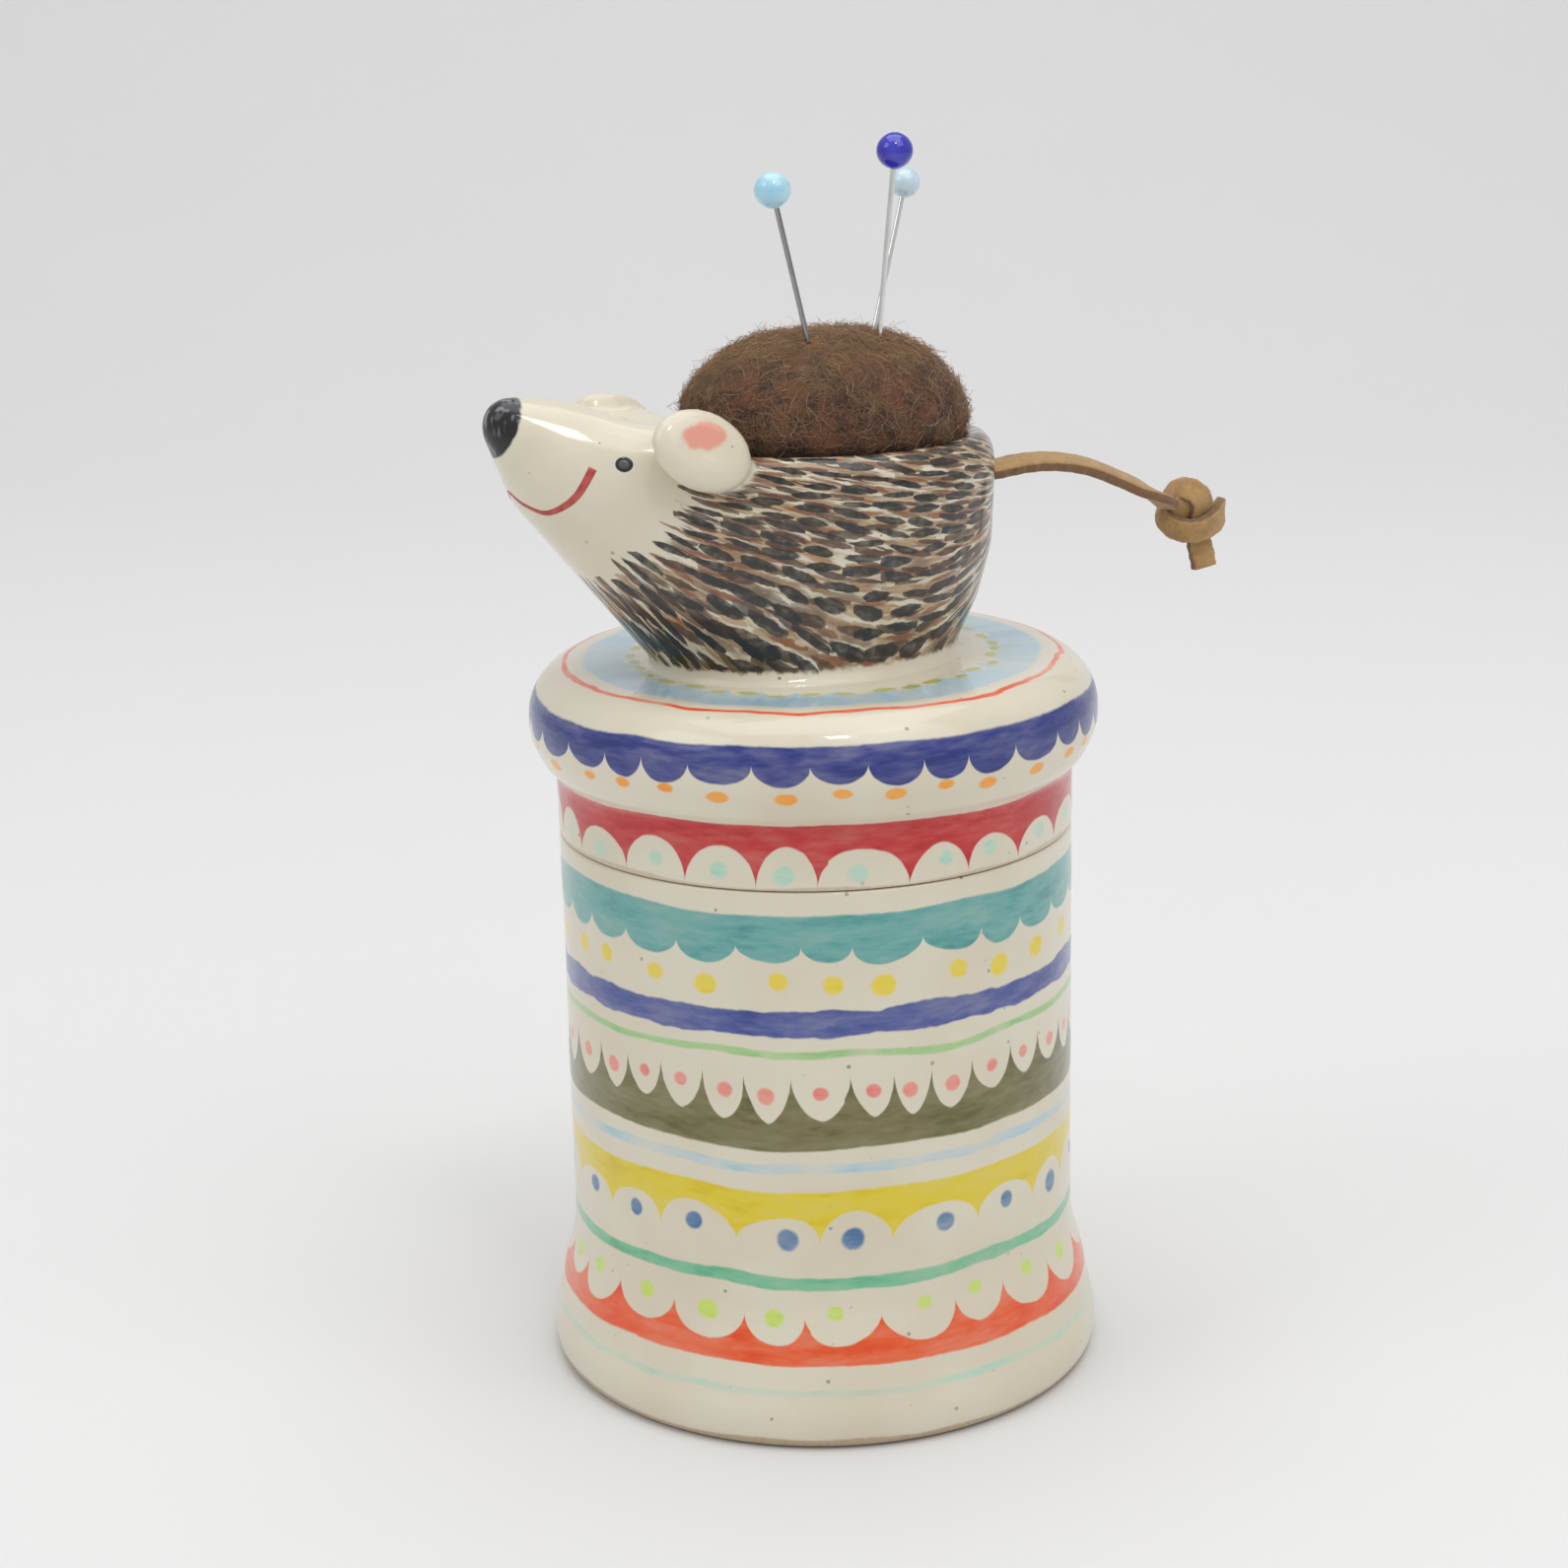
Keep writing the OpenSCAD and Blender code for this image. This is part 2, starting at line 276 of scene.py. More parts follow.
def makeCells():
    # divides the turn into cells of a hand's uneven widths: the place across a cell from -1 to 1, how far
    # the cell is squeezed, and two numbers that each cell draws
    group, given, out = newGroup("cellsAround", "Turn Count Start Hand Seed", "Across Squeeze First Second")
    turned = minus(group, given["Turn"], over(group, given["Start"], 360.0))
    cell = times(group, calc(group, "FRACT", turned), given["Count"])
    squeeze = 1.0
    for waves, share in ((7, 0.085), (11, 0.06)):
        shift = times(group, given["Hand"], waves * 0.4)
        phase = scaled(group, given["Turn"], 2 * math.pi * waves, shift)
        cell = scaled(group, calc(group, "SINE", phase), share, cell)
        slope = times(group, calc(group, "COSINE", phase), share * 2 * math.pi * waves)
        slope = over(group, slope, given["Count"])
        squeeze = plus(group, slope, squeeze)
    across = scaled(group, calc(group, "FRACT", cell), 2.0, -1.0)
    place = together(group, calc(group, "FLOOR", cell), given["Seed"])
    drawn = put(group, "ShaderNodeTexWhiteNoise", {"Vector": place}, noise_dimensions="3D").outputs["Color"]
    parts = put(group, "ShaderNodeSeparateColor", {0: drawn}).outputs
    feed(group, across, out["Across"])
    feed(group, squeeze, out["Squeeze"])
    feed(group, parts[0], out["First"])
    feed(group, parts[1], out["Second"])
    return group


def makeScallops(cells):
    # a band with one straight edge and one edge of bows that meet in cusps
    sockets = "Turn Height Count Start Straight Tip Cusp Round Hand Seed"
    group, given, out = newGroup("scallopBand", sockets, "Mask")
    parts = useGroup(group, cells, {k: given[k] for k in ("Turn", "Count", "Start", "Hand", "Seed")})
    shift = scaled(group, parts["First"], 0.28, -0.14)
    across = calc(group, "ABSOLUTE", parts["Across"])
    lean = times(group, times(group, parts["Across"], shift), minus(group, 1.0, across))
    across = calc(group, "ABSOLUTE", plus(group, parts["Across"], lean))
    bow = minus(group, 1.0, calc(group, "POWER", across, given["Round"]))
    bow = calc(group, "SQRT", calc(group, "MAXIMUM", bow, 0.0))
    reach = minus(group, given["Tip"], given["Cusp"])
    reach = times(group, reach, scaled(group, parts["Second"], 0.3, 0.85))
    edge = scaled(group, reach, bow, given["Cusp"])
    middle = times(group, plus(group, given["Tip"], given["Cusp"]), 0.5)
    side = calc(group, "SIGN", minus(group, given["Straight"], middle))
    fromEdge = times(group, minus(group, given["Height"], edge), side)
    fromStraight = times(group, minus(group, given["Straight"], given["Height"]), side)
    mask = times(group, ramp(group, fromEdge, -0.12, 0.16), ramp(group, fromStraight, -0.12, 0.2))
    feed(group, mask, out["Mask"])
    return group


def makeDots(cells):
    # a row of dabbed dots, one to a cell, each a little off its place and size
    sockets = "Turn Height Count Start Middle Wide Tall Radius Hand Seed"
    group, given, out = newGroup("dotRow", sockets, "Mask")
    half = over(group, 180.0, given["Count"])
    begin = minus(group, given["Start"], half)
    inputs = {k: given[k] for k in ("Turn", "Count", "Hand", "Seed")}
    parts = useGroup(group, cells, {**inputs, "Start": begin})
    cell = over(group, times(group, given["Radius"], math.pi), given["Count"])
    u = over(group, times(group, parts["Across"], cell), parts["Squeeze"])
    u = plus(group, u, scaled(group, parts["First"], 0.7, -0.35))
    v = minus(group, given["Height"], given["Middle"])
    v = plus(group, v, scaled(group, parts["Second"], 1.0, -0.5))
    grow = scaled(group, parts["Second"], 0.35, 0.82)
    u = over(group, u, times(group, given["Wide"], grow))
    v = over(group, v, times(group, given["Tall"], grow))
    away = calc(group, "SQRT", plus(group, times(group, u, u), times(group, v, v)))
    feed(group, ramp(group, away, 1.2, 0.8), out["Mask"])
    return group


def makeLine():
    # one brushed line round the pot, thin and broken where the brush ran dry
    group, given, out = newGroup("brushedLine", "Turn Height Middle Width Dry Seed", "Mask")
    angle = times(group, given["Turn"], 2 * math.pi)
    circle = together(group, calc(group, "SINE", angle), calc(group, "COSINE", angle), given["Seed"])
    drift = scaled(group, noise(group, circle, 1.6, 2.0), 1.4, -0.7)
    swell = scaled(group, noise(group, circle, 7.0, 2.0), 0.9, 0.55)
    level = minus(group, given["Height"], drift)
    away = calc(group, "ABSOLUTE", minus(group, level, given["Middle"]))
    half = times(group, times(group, given["Width"], 0.5), swell)
    mask = ramp(group, minus(group, away, half), 0.16, -0.16)
    moist = plus(group, given["Dry"], 0.25)
    wet = ramp(group, noise(group, circle, 4.0, 3.0), given["Dry"], moist, 0.45, 1.0)
    feed(group, times(group, mask, wet), out["Mask"])
    return group


def makeWash():
    # lays one colour over another with the streaks and pools of a loaded brush
    group, given, out = newGroup("brushWash", "Under Paint Mask Turn Height Thin Seed", "Colour")
    angle = times(group, given["Turn"], 2 * math.pi)
    level = scaled(group, given["Height"], 0.75, given["Seed"])
    x = times(group, calc(group, "SINE", angle), 5.5)
    y = times(group, calc(group, "COSINE", angle), 5.5)
    place = together(group, x, y, level)
    pool = noise(group, place, 0.5, 3.0, 0.6)
    streak = noise(group, place, 1.9, 2.0, 0.6)
    body = plus(group, times(group, pool, 0.65), times(group, streak, 0.35))
    thin = ramp(group, body, 0.4, 0.72, 0.0, 1.0)
    cover = minus(group, 1.0, times(group, thin, given["Thin"]))
    twice = {0: 1.0, 6: given["Paint"], 7: given["Paint"]}
    twice = put(group, "ShaderNodeMix", twice, data_type="RGBA", blend_type="MULTIPLY").outputs[2]
    deep = mixColour(group, ramp(group, body, 0.5, 0.3, 0.0, 0.45), given["Paint"], twice)
    feed(group, mixColour(group, times(group, given["Mask"], cover), given["Under"], deep), out["Colour"])
    return group


def makeGlaze():
    # cream glaze with slow clouds of tone and sparse iron specks
    group, given, out = newGroup("creamGlaze", "Spot Cream Warm Specks", "Colour")
    cloud = ramp(group, noise(group, given["Spot"], 0.06, 3.0), 0.35, 0.68)
    base = mixColour(group, cloud, given["Cream"], given["Warm"])
    cells = put(group, "ShaderNodeTexVoronoi", {"Vector": given["Spot"], "Scale": 0.45})
    chance = put(group, "ShaderNodeSeparateColor", {0: cells.outputs["Color"]}).outputs
    size = scaled(group, chance[1], 0.07, 0.045)
    speck = ramp(group, minus(group, cells.outputs["Distance"], size), 0.012, -0.012)
    speck = times(group, speck, calc(group, "LESS_THAN", chance[0], given["Specks"]))
    speck = times(group, speck, scaled(group, chance[2], 0.5, 0.2))
    feed(group, mixColour(group, speck, base, rgb(0.12, 0.085, 0.05)), out["Colour"])
    return group


paintedPlace = makePlace()


def steadySpot(tree):
    return useGroup(tree, paintedPlace, {"Waver": 0.0})["Spot"]


cellsAround = makeCells()
scallopBand = makeScallops(cellsAround)
dotRow = makeDots(cellsAround)
brushedLine = makeLine()
brushWash = makeWash()
creamGlaze = makeGlaze()

glaze = {
    "cream": rgb(0.74, 0.69, 0.555), "warm": rgb(0.70, 0.635, 0.49), "bare": rgb(0.40, 0.27, 0.145),
    "indigo": rgb(0.026, 0.042, 0.235), "orange": rgb(0.92, 0.38, 0.04), "crimson": rgb(0.56, 0.018, 0.02),
    "mint": rgb(0.47, 0.70, 0.57), "teal": rgb(0.115, 0.385, 0.365), "yellow": rgb(0.82, 0.64, 0.05),
    "periwinkle": rgb(0.055, 0.085, 0.32), "leaf": rgb(0.34, 0.60, 0.24), "olive": rgb(0.165, 0.148, 0.045),
    "salmon": rgb(0.84, 0.27, 0.22), "sky": rgb(0.46, 0.63, 0.70), "sun": rgb(0.76, 0.60, 0.012),
    "blue": rgb(0.08, 0.20, 0.38), "sea": rgb(0.17, 0.52, 0.31), "coral": rgb(0.83, 0.10, 0.014),
    "lime": rgb(0.58, 0.75, 0.14), "moss": rgb(0.47, 0.47, 0.06), "ring": rgb(0.82, 0.10, 0.03),
    "wash": rgb(0.36, 0.57, 0.70),
}


class Painter:
    # keeps the colour so far and lays band after band over it
    def __init__(self, tree, waver, specks):
        self.tree = tree
        place = useGroup(tree, paintedPlace, {"Waver": waver})
        self.turn, self.height, self.spot = place["Turn"], place["Height"], place["Spot"]
        inputs = {"Spot": self.spot, "Cream": glaze["cream"], "Warm": glaze["warm"], "Specks": specks}
        self.colour = useGroup(tree, creamGlaze, inputs)[0]
        self.count = 0
        x, y, self.level = apart(tree, self.spot)
        self.radius = calc(tree, "SQRT", plus(tree, times(tree, x, x), times(tree, y, y)))
        self.reach = None  # where the brush could reach, if not everywhere

    def lay(self, mask, paint, thin):
        self.count += 1
        if self.reach is not None:
            mask = times(self.tree, mask, self.reach)
        inputs = {"Under": self.colour, "Paint": glaze[paint], "Mask": mask, "Thin": thin}
        self.colour = self.use(brushWash, {**inputs, "Seed": 3.7 * self.count})

    def use(self, group, inputs):
        place = {"Turn": self.turn, "Height": self.height}
        return useGroup(self.tree, group, {**place, **inputs})[0]

    # heights are millimetres from the foot, starts are degrees round the pot, thin is how far the paint pales
    def scallops(self, paint, count, start, straight, tip, cusp, thin=0.5, roundness=2.0):
        inputs = {"Count": count, "Start": start, "Straight": straight, "Tip": tip, "Cusp": cusp,
                  "Round": roundness, "Hand": count, "Seed": self.count * 1.3}
        self.lay(self.use(scallopBand, inputs), paint, thin)

    def dots(self, paint, count, start, middle, wide, tall, radius, thin=0.5):
        inputs = {"Count": count, "Start": start, "Middle": middle, "Wide": wide, "Tall": tall,
                  "Radius": radius, "Hand": count, "Seed": self.count * 2.1}
        self.lay(self.use(dotRow, inputs), paint, thin)

    def line(self, paint, middle, width, dry=0.2, thin=0.5):
        inputs = {"Middle": middle, "Width": width, "Dry": dry, "Seed": self.count * 4.3}
        self.lay(self.use(brushedLine, inputs), paint, thin)

    def bareClay(self, mask):
        grain = noise(self.tree, self.spot, 2.2, 3.0)
        clay = mixColour(self.tree, grain, glaze["bare"], rgb(0.60, 0.50, 0.35))
        self.colour = mixColour(self.tree, mask, self.colour, clay)


def finishGlaze(tree, shader, painter):
    tree.links.new(painter.colour, shader.inputs["Base Color"])
    soft = noise(tree, painter.spot, 0.28, 2.0)
    fine = noise(tree, painter.spot, 1.4, 2.0)
    addBump(tree, shader, scaled(tree, soft, 0.8, times(tree, fine, 0.16)), 0.35, 0.0004)


glossy = {"Roughness": 0.32, "Coat_Weight": 0.65, "Coat_Roughness": 0.05, "IOR": 1.33}


def makeJarGlaze():
    material, tree, shader = newMaterial("jarGlaze", **glossy)
    p = Painter(tree, 0.36, 0.5)
    p.reach = ramp(tree, p.radius, 27.0, 27.4)  # the inside is only glazed
    p.scallops("teal", count=27, start=-4.5, straight=61.6, tip=55.9, cusp=58.0, thin=0.22)
    p.dots("yellow", count=27, start=2.5, middle=53.6, wide=1.2, tall=1.1, radius=29.5, thin=0.15)
    p.line("periwinkle", middle=49.2, width=2.9, dry=0.0, thin=0.2)
    p.line("leaf", middle=45.6, width=0.8, dry=0.25, thin=0.25)
    p.scallops("olive", count=35, start=4.7, straight=34.6, tip=38.6, cusp=43.4, thin=0.15, roundness=1.6)
    p.dots("salmon", count=35, start=9.8, middle=41.2, wide=0.9, tall=0.85, radius=29.5, thin=0.3)
    p.line("sky", middle=32.4, width=1.1, dry=0.35, thin=0.6)
    p.scallops("sun", count=20, start=-1.0, straight=29.8, tip=27.0, cusp=23.6, thin=0.15)
    p.dots("blue", count=20, start=8.3, middle=24.6, wide=1.15, tall=1.1, radius=29.5, thin=0.3)
    p.line("sea", middle=19.1, width=1.45, dry=0.1, thin=0.25)
    p.scallops("coral", count=23, start=-3.1, straight=9.6, tip=12.0, cusp=15.4, thin=0.22)
    p.dots("lime", count=23, start=4.3, middle=15.4, wide=1.05, tall=0.95, radius=30.0, thin=0.3)
    p.line("mint", middle=6.6, width=0.7, dry=0.4, thin=0.5)
    p.bareClay(ramp(tree, p.height, 1.5, 1.1))  # the foot was wiped clean of glaze
    finishGlaze(tree, shader, p)
    return material


def makeLidGlaze():
    material, tree, shader = newMaterial("lidGlaze", **glossy)
    p = Painter(tree, 0.34, 0.5)
    p.reach = ramp(tree, p.radius, 26.6, 27.0)
    p.scallops("indigo", count=33, start=-1.3, straight=80.6, tip=76.2, cusp=78.6, thin=0.2)
    p.dots("orange", count=33, start=4.1, middle=75.3, wide=1.05, tall=0.6, radius=31.6, thin=0.15)
    p.scallops("crimson", count=23, start=2.2, straight=71.4, tip=68.5, cusp=64.4, thin=0.15)
    p.dots("mint", count=23, start=10.0, middle=66.3, wide=1.0, tall=0.95, radius=29.5, thin=0.6)
    p.reach = None
    waver = scaled(tree, noise(tree, p.spot, 0.12, 2.0), 2.0, -1.0)
    radius = plus(tree, p.radius, waver)
    above = ramp(tree, p.level, 82.2, 82.6)
    inputs = {"Turn": p.turn, "Count": 30.0, "Start": 2.0, "Hand": 3.0, "Seed": 5.0}
    inner = useGroup(tree, cellsAround, inputs)
    wavy = scaled(tree, calc(tree, "ABSOLUTE", inner["Across"]), 2.2, 19.6)
    ring = times(tree, ramp(tree, minus(tree, radius, wavy), -0.3, 0.3), ramp(tree, radius, 26.3, 25.6))
    p.lay(times(tree, times(tree, ring, above), 0.9), "wash", thin=0.55)
    inputs = {"Height": radius, "Count": 36.0, "Start": 0.0, "Middle": 20.8, "Wide": 1.15, "Tall": 0.6,
              "Radius": 20.5, "Hand": 3.0, "Seed": 9.0}
    dab = p.use(dotRow, inputs)
    p.lay(times(tree, dab, above), "moss", thin=0.2)
    thinRing = ramp(tree, calc(tree, "ABSOLUTE", minus(tree, radius, 28.0)), 0.42, 0.18)
    p.lay(times(tree, thinRing, ramp(tree, p.level, 81.6, 82.0)), "ring", thin=0.45)
    seat = ramp(tree, p.height, 64.75, 64.45)
    p.bareClay(times(tree, seat, 0.6))
    finishGlaze(tree, shader, p)
    return material


def makeBareClay():
    material, tree, shader = newMaterial("bareStoneware", Roughness=0.85)
    p = Painter(tree, 0.2, 0.2)
    p.bareClay(1.0)
    tree.links.new(p.colour, shader.inputs["Base Color"])
    addBump(tree, shader, noise(tree, p.spot, 3.0, 4.0), 0.5, 0.0002)
    return material


jarGlaze = makeJarGlaze()
lidGlaze = makeLidGlaze()
bareClay = makeBareClay()


def rounded(outline, rounds=3):
    # cuts the corners of a maker's outline until it runs smooth, with its ends kept
    points = [Vector(p) for p in outline]
    for _ in range(rounds):
        cut = [points[0]]
        for a, b in zip(points, points[1:]):
            cut += [a.lerp(b, 0.25), a.lerp(b, 0.75)]
        points = cut + [points[-1]]
    return points


def denser(points, step):
    out = [points[0]]
    for a, b in zip(points, points[1:]):
        n = max(1, math.ceil((b - a).length / step))
        out += [a.lerp(b, i / n) for i in range(1, n + 1)]
    return out


def throw(name, outline, around, step, unevenness, material):
    # turns an outline that starts and ends on the axis, a little out of true as on a wheel
    points = denser(rounded(outline), step)
    ring = [p for p in points if p.x > 1e-4]
    verts = []
    for p in ring:
        for i in range(around):
            a = 2 * math.pi * i / around
            off = math.sin(2 * a + 0.13 * p.y) * 0.5 + math.sin(3 * a - 0.21 * p.y + 1.0) * 0.3
            off += math.sin(0.9 * p.y) * 0.22
            r = p.x + unevenness * off * min(1.0, p.x / 12)
            verts.append((r * mm * math.sin(a), -r * mm * math.cos(a), p.y * mm))
    verts += [(0, 0, points[0].y * mm), (0, 0, points[-1].y * mm)]
    faces = wall(len(ring), around) + pointedEnds(len(ring), around)
    return addPiece(name, verts, faces, material)


# outlines run from the middle of one face to the middle of the other, as distances out and up
jarSizes = {
    "around": 288, "step": 0.7, "unevenness": 0.07,
    "outline": [
        (0, 0.5), (24, 0.5), (26, 0), (30.6, 0), (31.5, 0.25), (32.2, 1.3), (32.35, 3.0), (32.2, 4.8),
        (31.5, 7.2), (31.0, 10.0), (30.5, 12.2), (29.7, 14.6), (29.45, 17), (29.4, 26), (29.4, 40),
        (29.4, 52), (29.5, 58), (29.5, 63.2), (29.4, 64), (28.6, 64), (26.4, 64), (25.6, 63.9), (25.5, 62.8),
        (25.5, 50), (25.5, 30), (25.5, 10), (25.3, 6.6), (23.4, 5.0), (20, 5.0), (0, 5.0),
    ],
}
lidSizes = {
    "around": 288, "step": 0.6, "unevenness": 0.05,
    "outline": [
        (0, 79), (16, 79), (20, 78.7), (21.9, 76.6), (21.9, 74), (21.9, 70.2), (21.9, 70.1), (22.3, 70.1),
        (24.6, 70.1), (24.95, 70.1), (24.95, 69.7), (24.95, 66), (24.95, 64.3), (25.0, 64.1), (25.4, 64.1),
        (28.8, 64.1), (29.4, 64.1), (29.5, 64.6), (29.5, 66), (29.5, 69.4), (29.5, 71.0), (30.1, 71.7),
        (31.0, 72.6), (31.6, 73.8), (32.3, 75.4), (32.4, 77.4), (32.2, 79.2), (31.5, 80.7), (30.6, 81.9),
        (29.2, 82.9), (27.6, 83.5), (25, 83.5), (12, 83.5), (0, 83.5),
    ],
}


def makePot():
    jar = throw("glazedJar", material=jarGlaze, **jarSizes)
    lid = throw("glazedLid", material=lidGlaze, **lidSizes)
    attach(jar, "jar")
    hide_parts("jar")
    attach(lid, "lid")
    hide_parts("lid")
    dress("lid_locating_ring", bareClay)


makePot()
print("jar and lid thrown")


hedgehogSizes = {
    "voxel": 0.42, "smoothing": 10, "base": {"x": -3.0, "long": 17.1, "wide": 14.1}, "dip": 2.2,
    "axis": ((-36.8, 112.2), (19.6, 102.5)), "girth": 18.0,
    "earLong": 11.8, "earHigh": 9.1, "earThick": 3.4, "earDish": 0.3,
    "earSwing": 6, "earTip": 24, "earLean": 24,
    "nearEar": (-20.0, -12.6, 109.9), "farEar": (-22.3, 8.6, 110.5), "farShare": 0.88,
}


def earForm(side):
    # a thick oval disc of clay with a thumbed hollow on its outer face
    size = hedgehogSizes
    spot, share = (size["nearEar"], 1.0) if side < 0 else (size["farEar"], size["farShare"])
    verts, rings, around = [], 14, 40
    for k in range(rings + 1):
        t = math.pi * k / rings - math.pi / 2
        for i in range(around):
            a = 2 * math.pi * i / around
            c = math.copysign(abs(math.cos(t)) ** 0.55, math.cos(t))
            z = math.sin(t) * size["earThick"] / 2
            x, y = c * math.cos(a) * size["earLong"] / 2, c * math.sin(a) * size["earHigh"] / 2
            hollow = size["earDish"] * max(0.0, 1 - (x / 3.9) ** 2 - (y / 2.7) ** 2)
            if z * side < 0:
                z += side * hollow
            verts.append(Vector((x, y, z)) * share)
    faces = wall(rings + 1, around) + flatEnds(rings + 1, around)
    lay = Matrix.Rotation(math.radians(side * size["earSwing"]), 4, "Z")
    lay = lay @ Matrix.Rotation(math.radians(size["earTip"]), 4, "Y")
    lay = lay @ Matrix.Rotation(math.radians(90 + side * size["earLean"]), 4, "X")
    place = Matrix.Translation(spot) @ lay
    return [own(*(place @ v)) for v in verts], faces


def remeshed(name, parts, voxel):
    verts, faces = [], []
    for points, polygons in parts:
        faces += [tuple(i + len(verts) for i in f) for f in polygons]
        verts += points
    rough = addPiece("rough", verts, faces)
    change = rough.modifiers.new("remesh", "REMESH")
    change.mode = "VOXEL"
    change.voxel_size = voxel * mm
    change.use_smooth_shade = True
    result = bpy.data.meshes.new_from_object(rough.evaluated_get(bpy.context.evaluated_depsgraph_get()))
    bpy.data.objects.remove(rough)
    piece = bpy.data.objects.new(name, result)
    result.name = name
    bpy.context.scene.collection.objects.link(piece)
    return piece


def relax(piece, rounds, pull=0.5):
    # evens the surface out, each point moving towards the middle of its neighbours
    mesh = piece.data
    co = np.zeros(len(mesh.vertices) * 3)
    mesh.vertices.foreach_get("co", co)
    co = co.reshape(-1, 3)
    ends = np.zeros(len(mesh.edges) * 2, int)
    mesh.edges.foreach_get("vertices", ends)
    a, b = ends.reshape(-1, 2).T
    count = np.bincount(np.concatenate([a, b]), minlength=len(co))[:, None]
    for _ in range(rounds):
        total = np.zeros_like(co)
        for k in range(3):
            total[:, k] = np.bincount(a, co[b, k], len(co)) + np.bincount(b, co[a, k], len(co))
        co += (total / count - co) * pull
    mesh.vertices.foreach_set("co", co.ravel())
    mesh.update()
    return co


def storeNumbers(mesh, name, values):
    mesh.attributes.new(name, "FLOAT", "POINT").data.foreach_set("value", np.asarray(values, np.float32))


def ownPoints(co):
    back = np.array(ownFrame.inverted())
    return (co @ back[:3, :3].T + back[:3, 3]) / mm


def makeHedgehogForm():
    size = hedgehogSizes
    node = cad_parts["hedgehog_body"].data
    body = ([v.co.copy() for v in node.vertices], [tuple(p.vertices) for p in node.polygons])
    around, base = 64, size["base"]
    ovals = []
    for z in (lidTop - 2.5, lidTop + 0.4):
        for i in range(around):
            a = 2 * math.pi * i / around
            ovals.append(own(base["x"] + base["long"] * math.cos(a), base["wide"] * math.sin(a), z))
    sides = wall(2, around) + flatEnds(2, around)
    piece = remeshed("hedgehogBody", [body, (ovals, sides), earForm(-1), earForm(1)], size["voxel"])
    co = relax(piece, size["smoothing"])
    p = ownPoints(co)
    x, y, z = p.T
    brow = np.exp(-((x + 22.6) / 4.8) ** 2) * np.exp(-(y / 6.2) ** 2) * np.clip((z - 104) / 5, 0, 1)
    co[:, 2] -= size["dip"] * brow * mm
    foot = np.clip((lidTop + 1.9 - z) / 1.9, 0, 1.1) ** 2  # a smear of slip round the standing edge
    out = np.stack([(x - base["x"]) / 1.4, y], 1)
    out /= np.maximum(np.linalg.norm(out, axis=1), 1e-6)[:, None]
    co[:, :2] += (out * (1.25 * foot)[:, None]) @ np.array(ownFrame)[:2, :2].T * mm
    piece.data.vertices.foreach_set("co", co.ravel())
    piece.data.update()
    p = ownPoints(co)
    x, y, z = p.T
    (noseX, noseZ), (tailX, tailZ) = size["axis"]
    axis = noseZ + (tailZ - noseZ) * np.clip((x - noseX) / (tailX - noseX), 0, 1)
    storeNumbers(piece.data, "along", x)
    storeNumbers(piece.data, "around", np.arctan2(y, axis - z) * size["girth"])
    near = [BVHTree.FromPolygons(*earForm(side)) for side in (-1, 1)]
    off = [min(tree.find_nearest(Vector(c))[3] for tree in near) / mm for c in co]
    storeNumbers(piece.data, "offEars", np.clip((np.array(off) - 0.5) / 0.6, 0, 1))
    storeNumbers(piece.data, "behindCollar", ((x + 29.2) - 0.76 * (z - 94.6)) / 1.256)
    piece.data.shade_smooth()
    return piece


def makeStrokes():
    # brush dabs laid in rows along the body, each with its own length, width, slant and strength
    sockets = "Along Around Collar Pitch Step Long Wide Share Seed"
    group, given, out = newGroup("brushDabs", sockets, "Mask Tone")
    row = over(group, given["Around"], given["Pitch"])
    number = calc(group, "FLOOR", row)
    u = minus(group, calc(group, "FRACT", row), 0.5)
    rowPlace = together(group, number, given["Seed"])
    begin = put(group, "ShaderNodeTexWhiteNoise", {"Vector": rowPlace}).outputs["Value"]
    step = plus(group, over(group, given["Along"], given["Step"]), times(group, begin, 9.0))
    cell = calc(group, "FLOOR", step)
    v = minus(group, calc(group, "FRACT", step), 0.5)
    place = together(group, number, cell, given["Seed"])
    drawn = put(group, "ShaderNodeTexWhiteNoise", {"Vector": place})
    r, g, b = put(group, "ShaderNodeSeparateColor", {0: drawn.outputs["Color"]}).outputs
    slant = scaled(group, b, 0.34, -0.17)
    across = times(group, plus(group, u, scaled(group, r, 0.36, -0.18)), given["Pitch"])
    down = times(group, plus(group, v, scaled(group, g, 0.24, -0.12)), given["Step"])
    across = plus(group, across, times(group, down, slant))
    half = times(group, given["Wide"], scaled(group, g, 0.3, 0.34))
    reach = times(group, given["Long"], scaled(group, r, 0.24, 0.36))
    a = calc(group, "POWER", over(group, calc(group, "ABSOLUTE", across), half), 1.7)
    c = calc(group, "POWER", over(group, calc(group, "ABSOLUTE", down), reach), 1.8)
    mask = ramp(group, plus(group, a, c), 1.2, 0.8)
    middle = plus(group, given["Collar"], times(group, times(group, v, given["Step"]), -0.796))
    kept = calc(group, "GREATER_THAN", middle, scaled(group, b, 1.8, -0.2))
    kept = times(group, kept, calc(group, "LESS_THAN", drawn.outputs["Value"], given["Share"]))
    feed(group, times(group, mask, kept), out["Mask"])
    feed(group, r, out["Tone"])
    return group


brushDabs = makeStrokes()

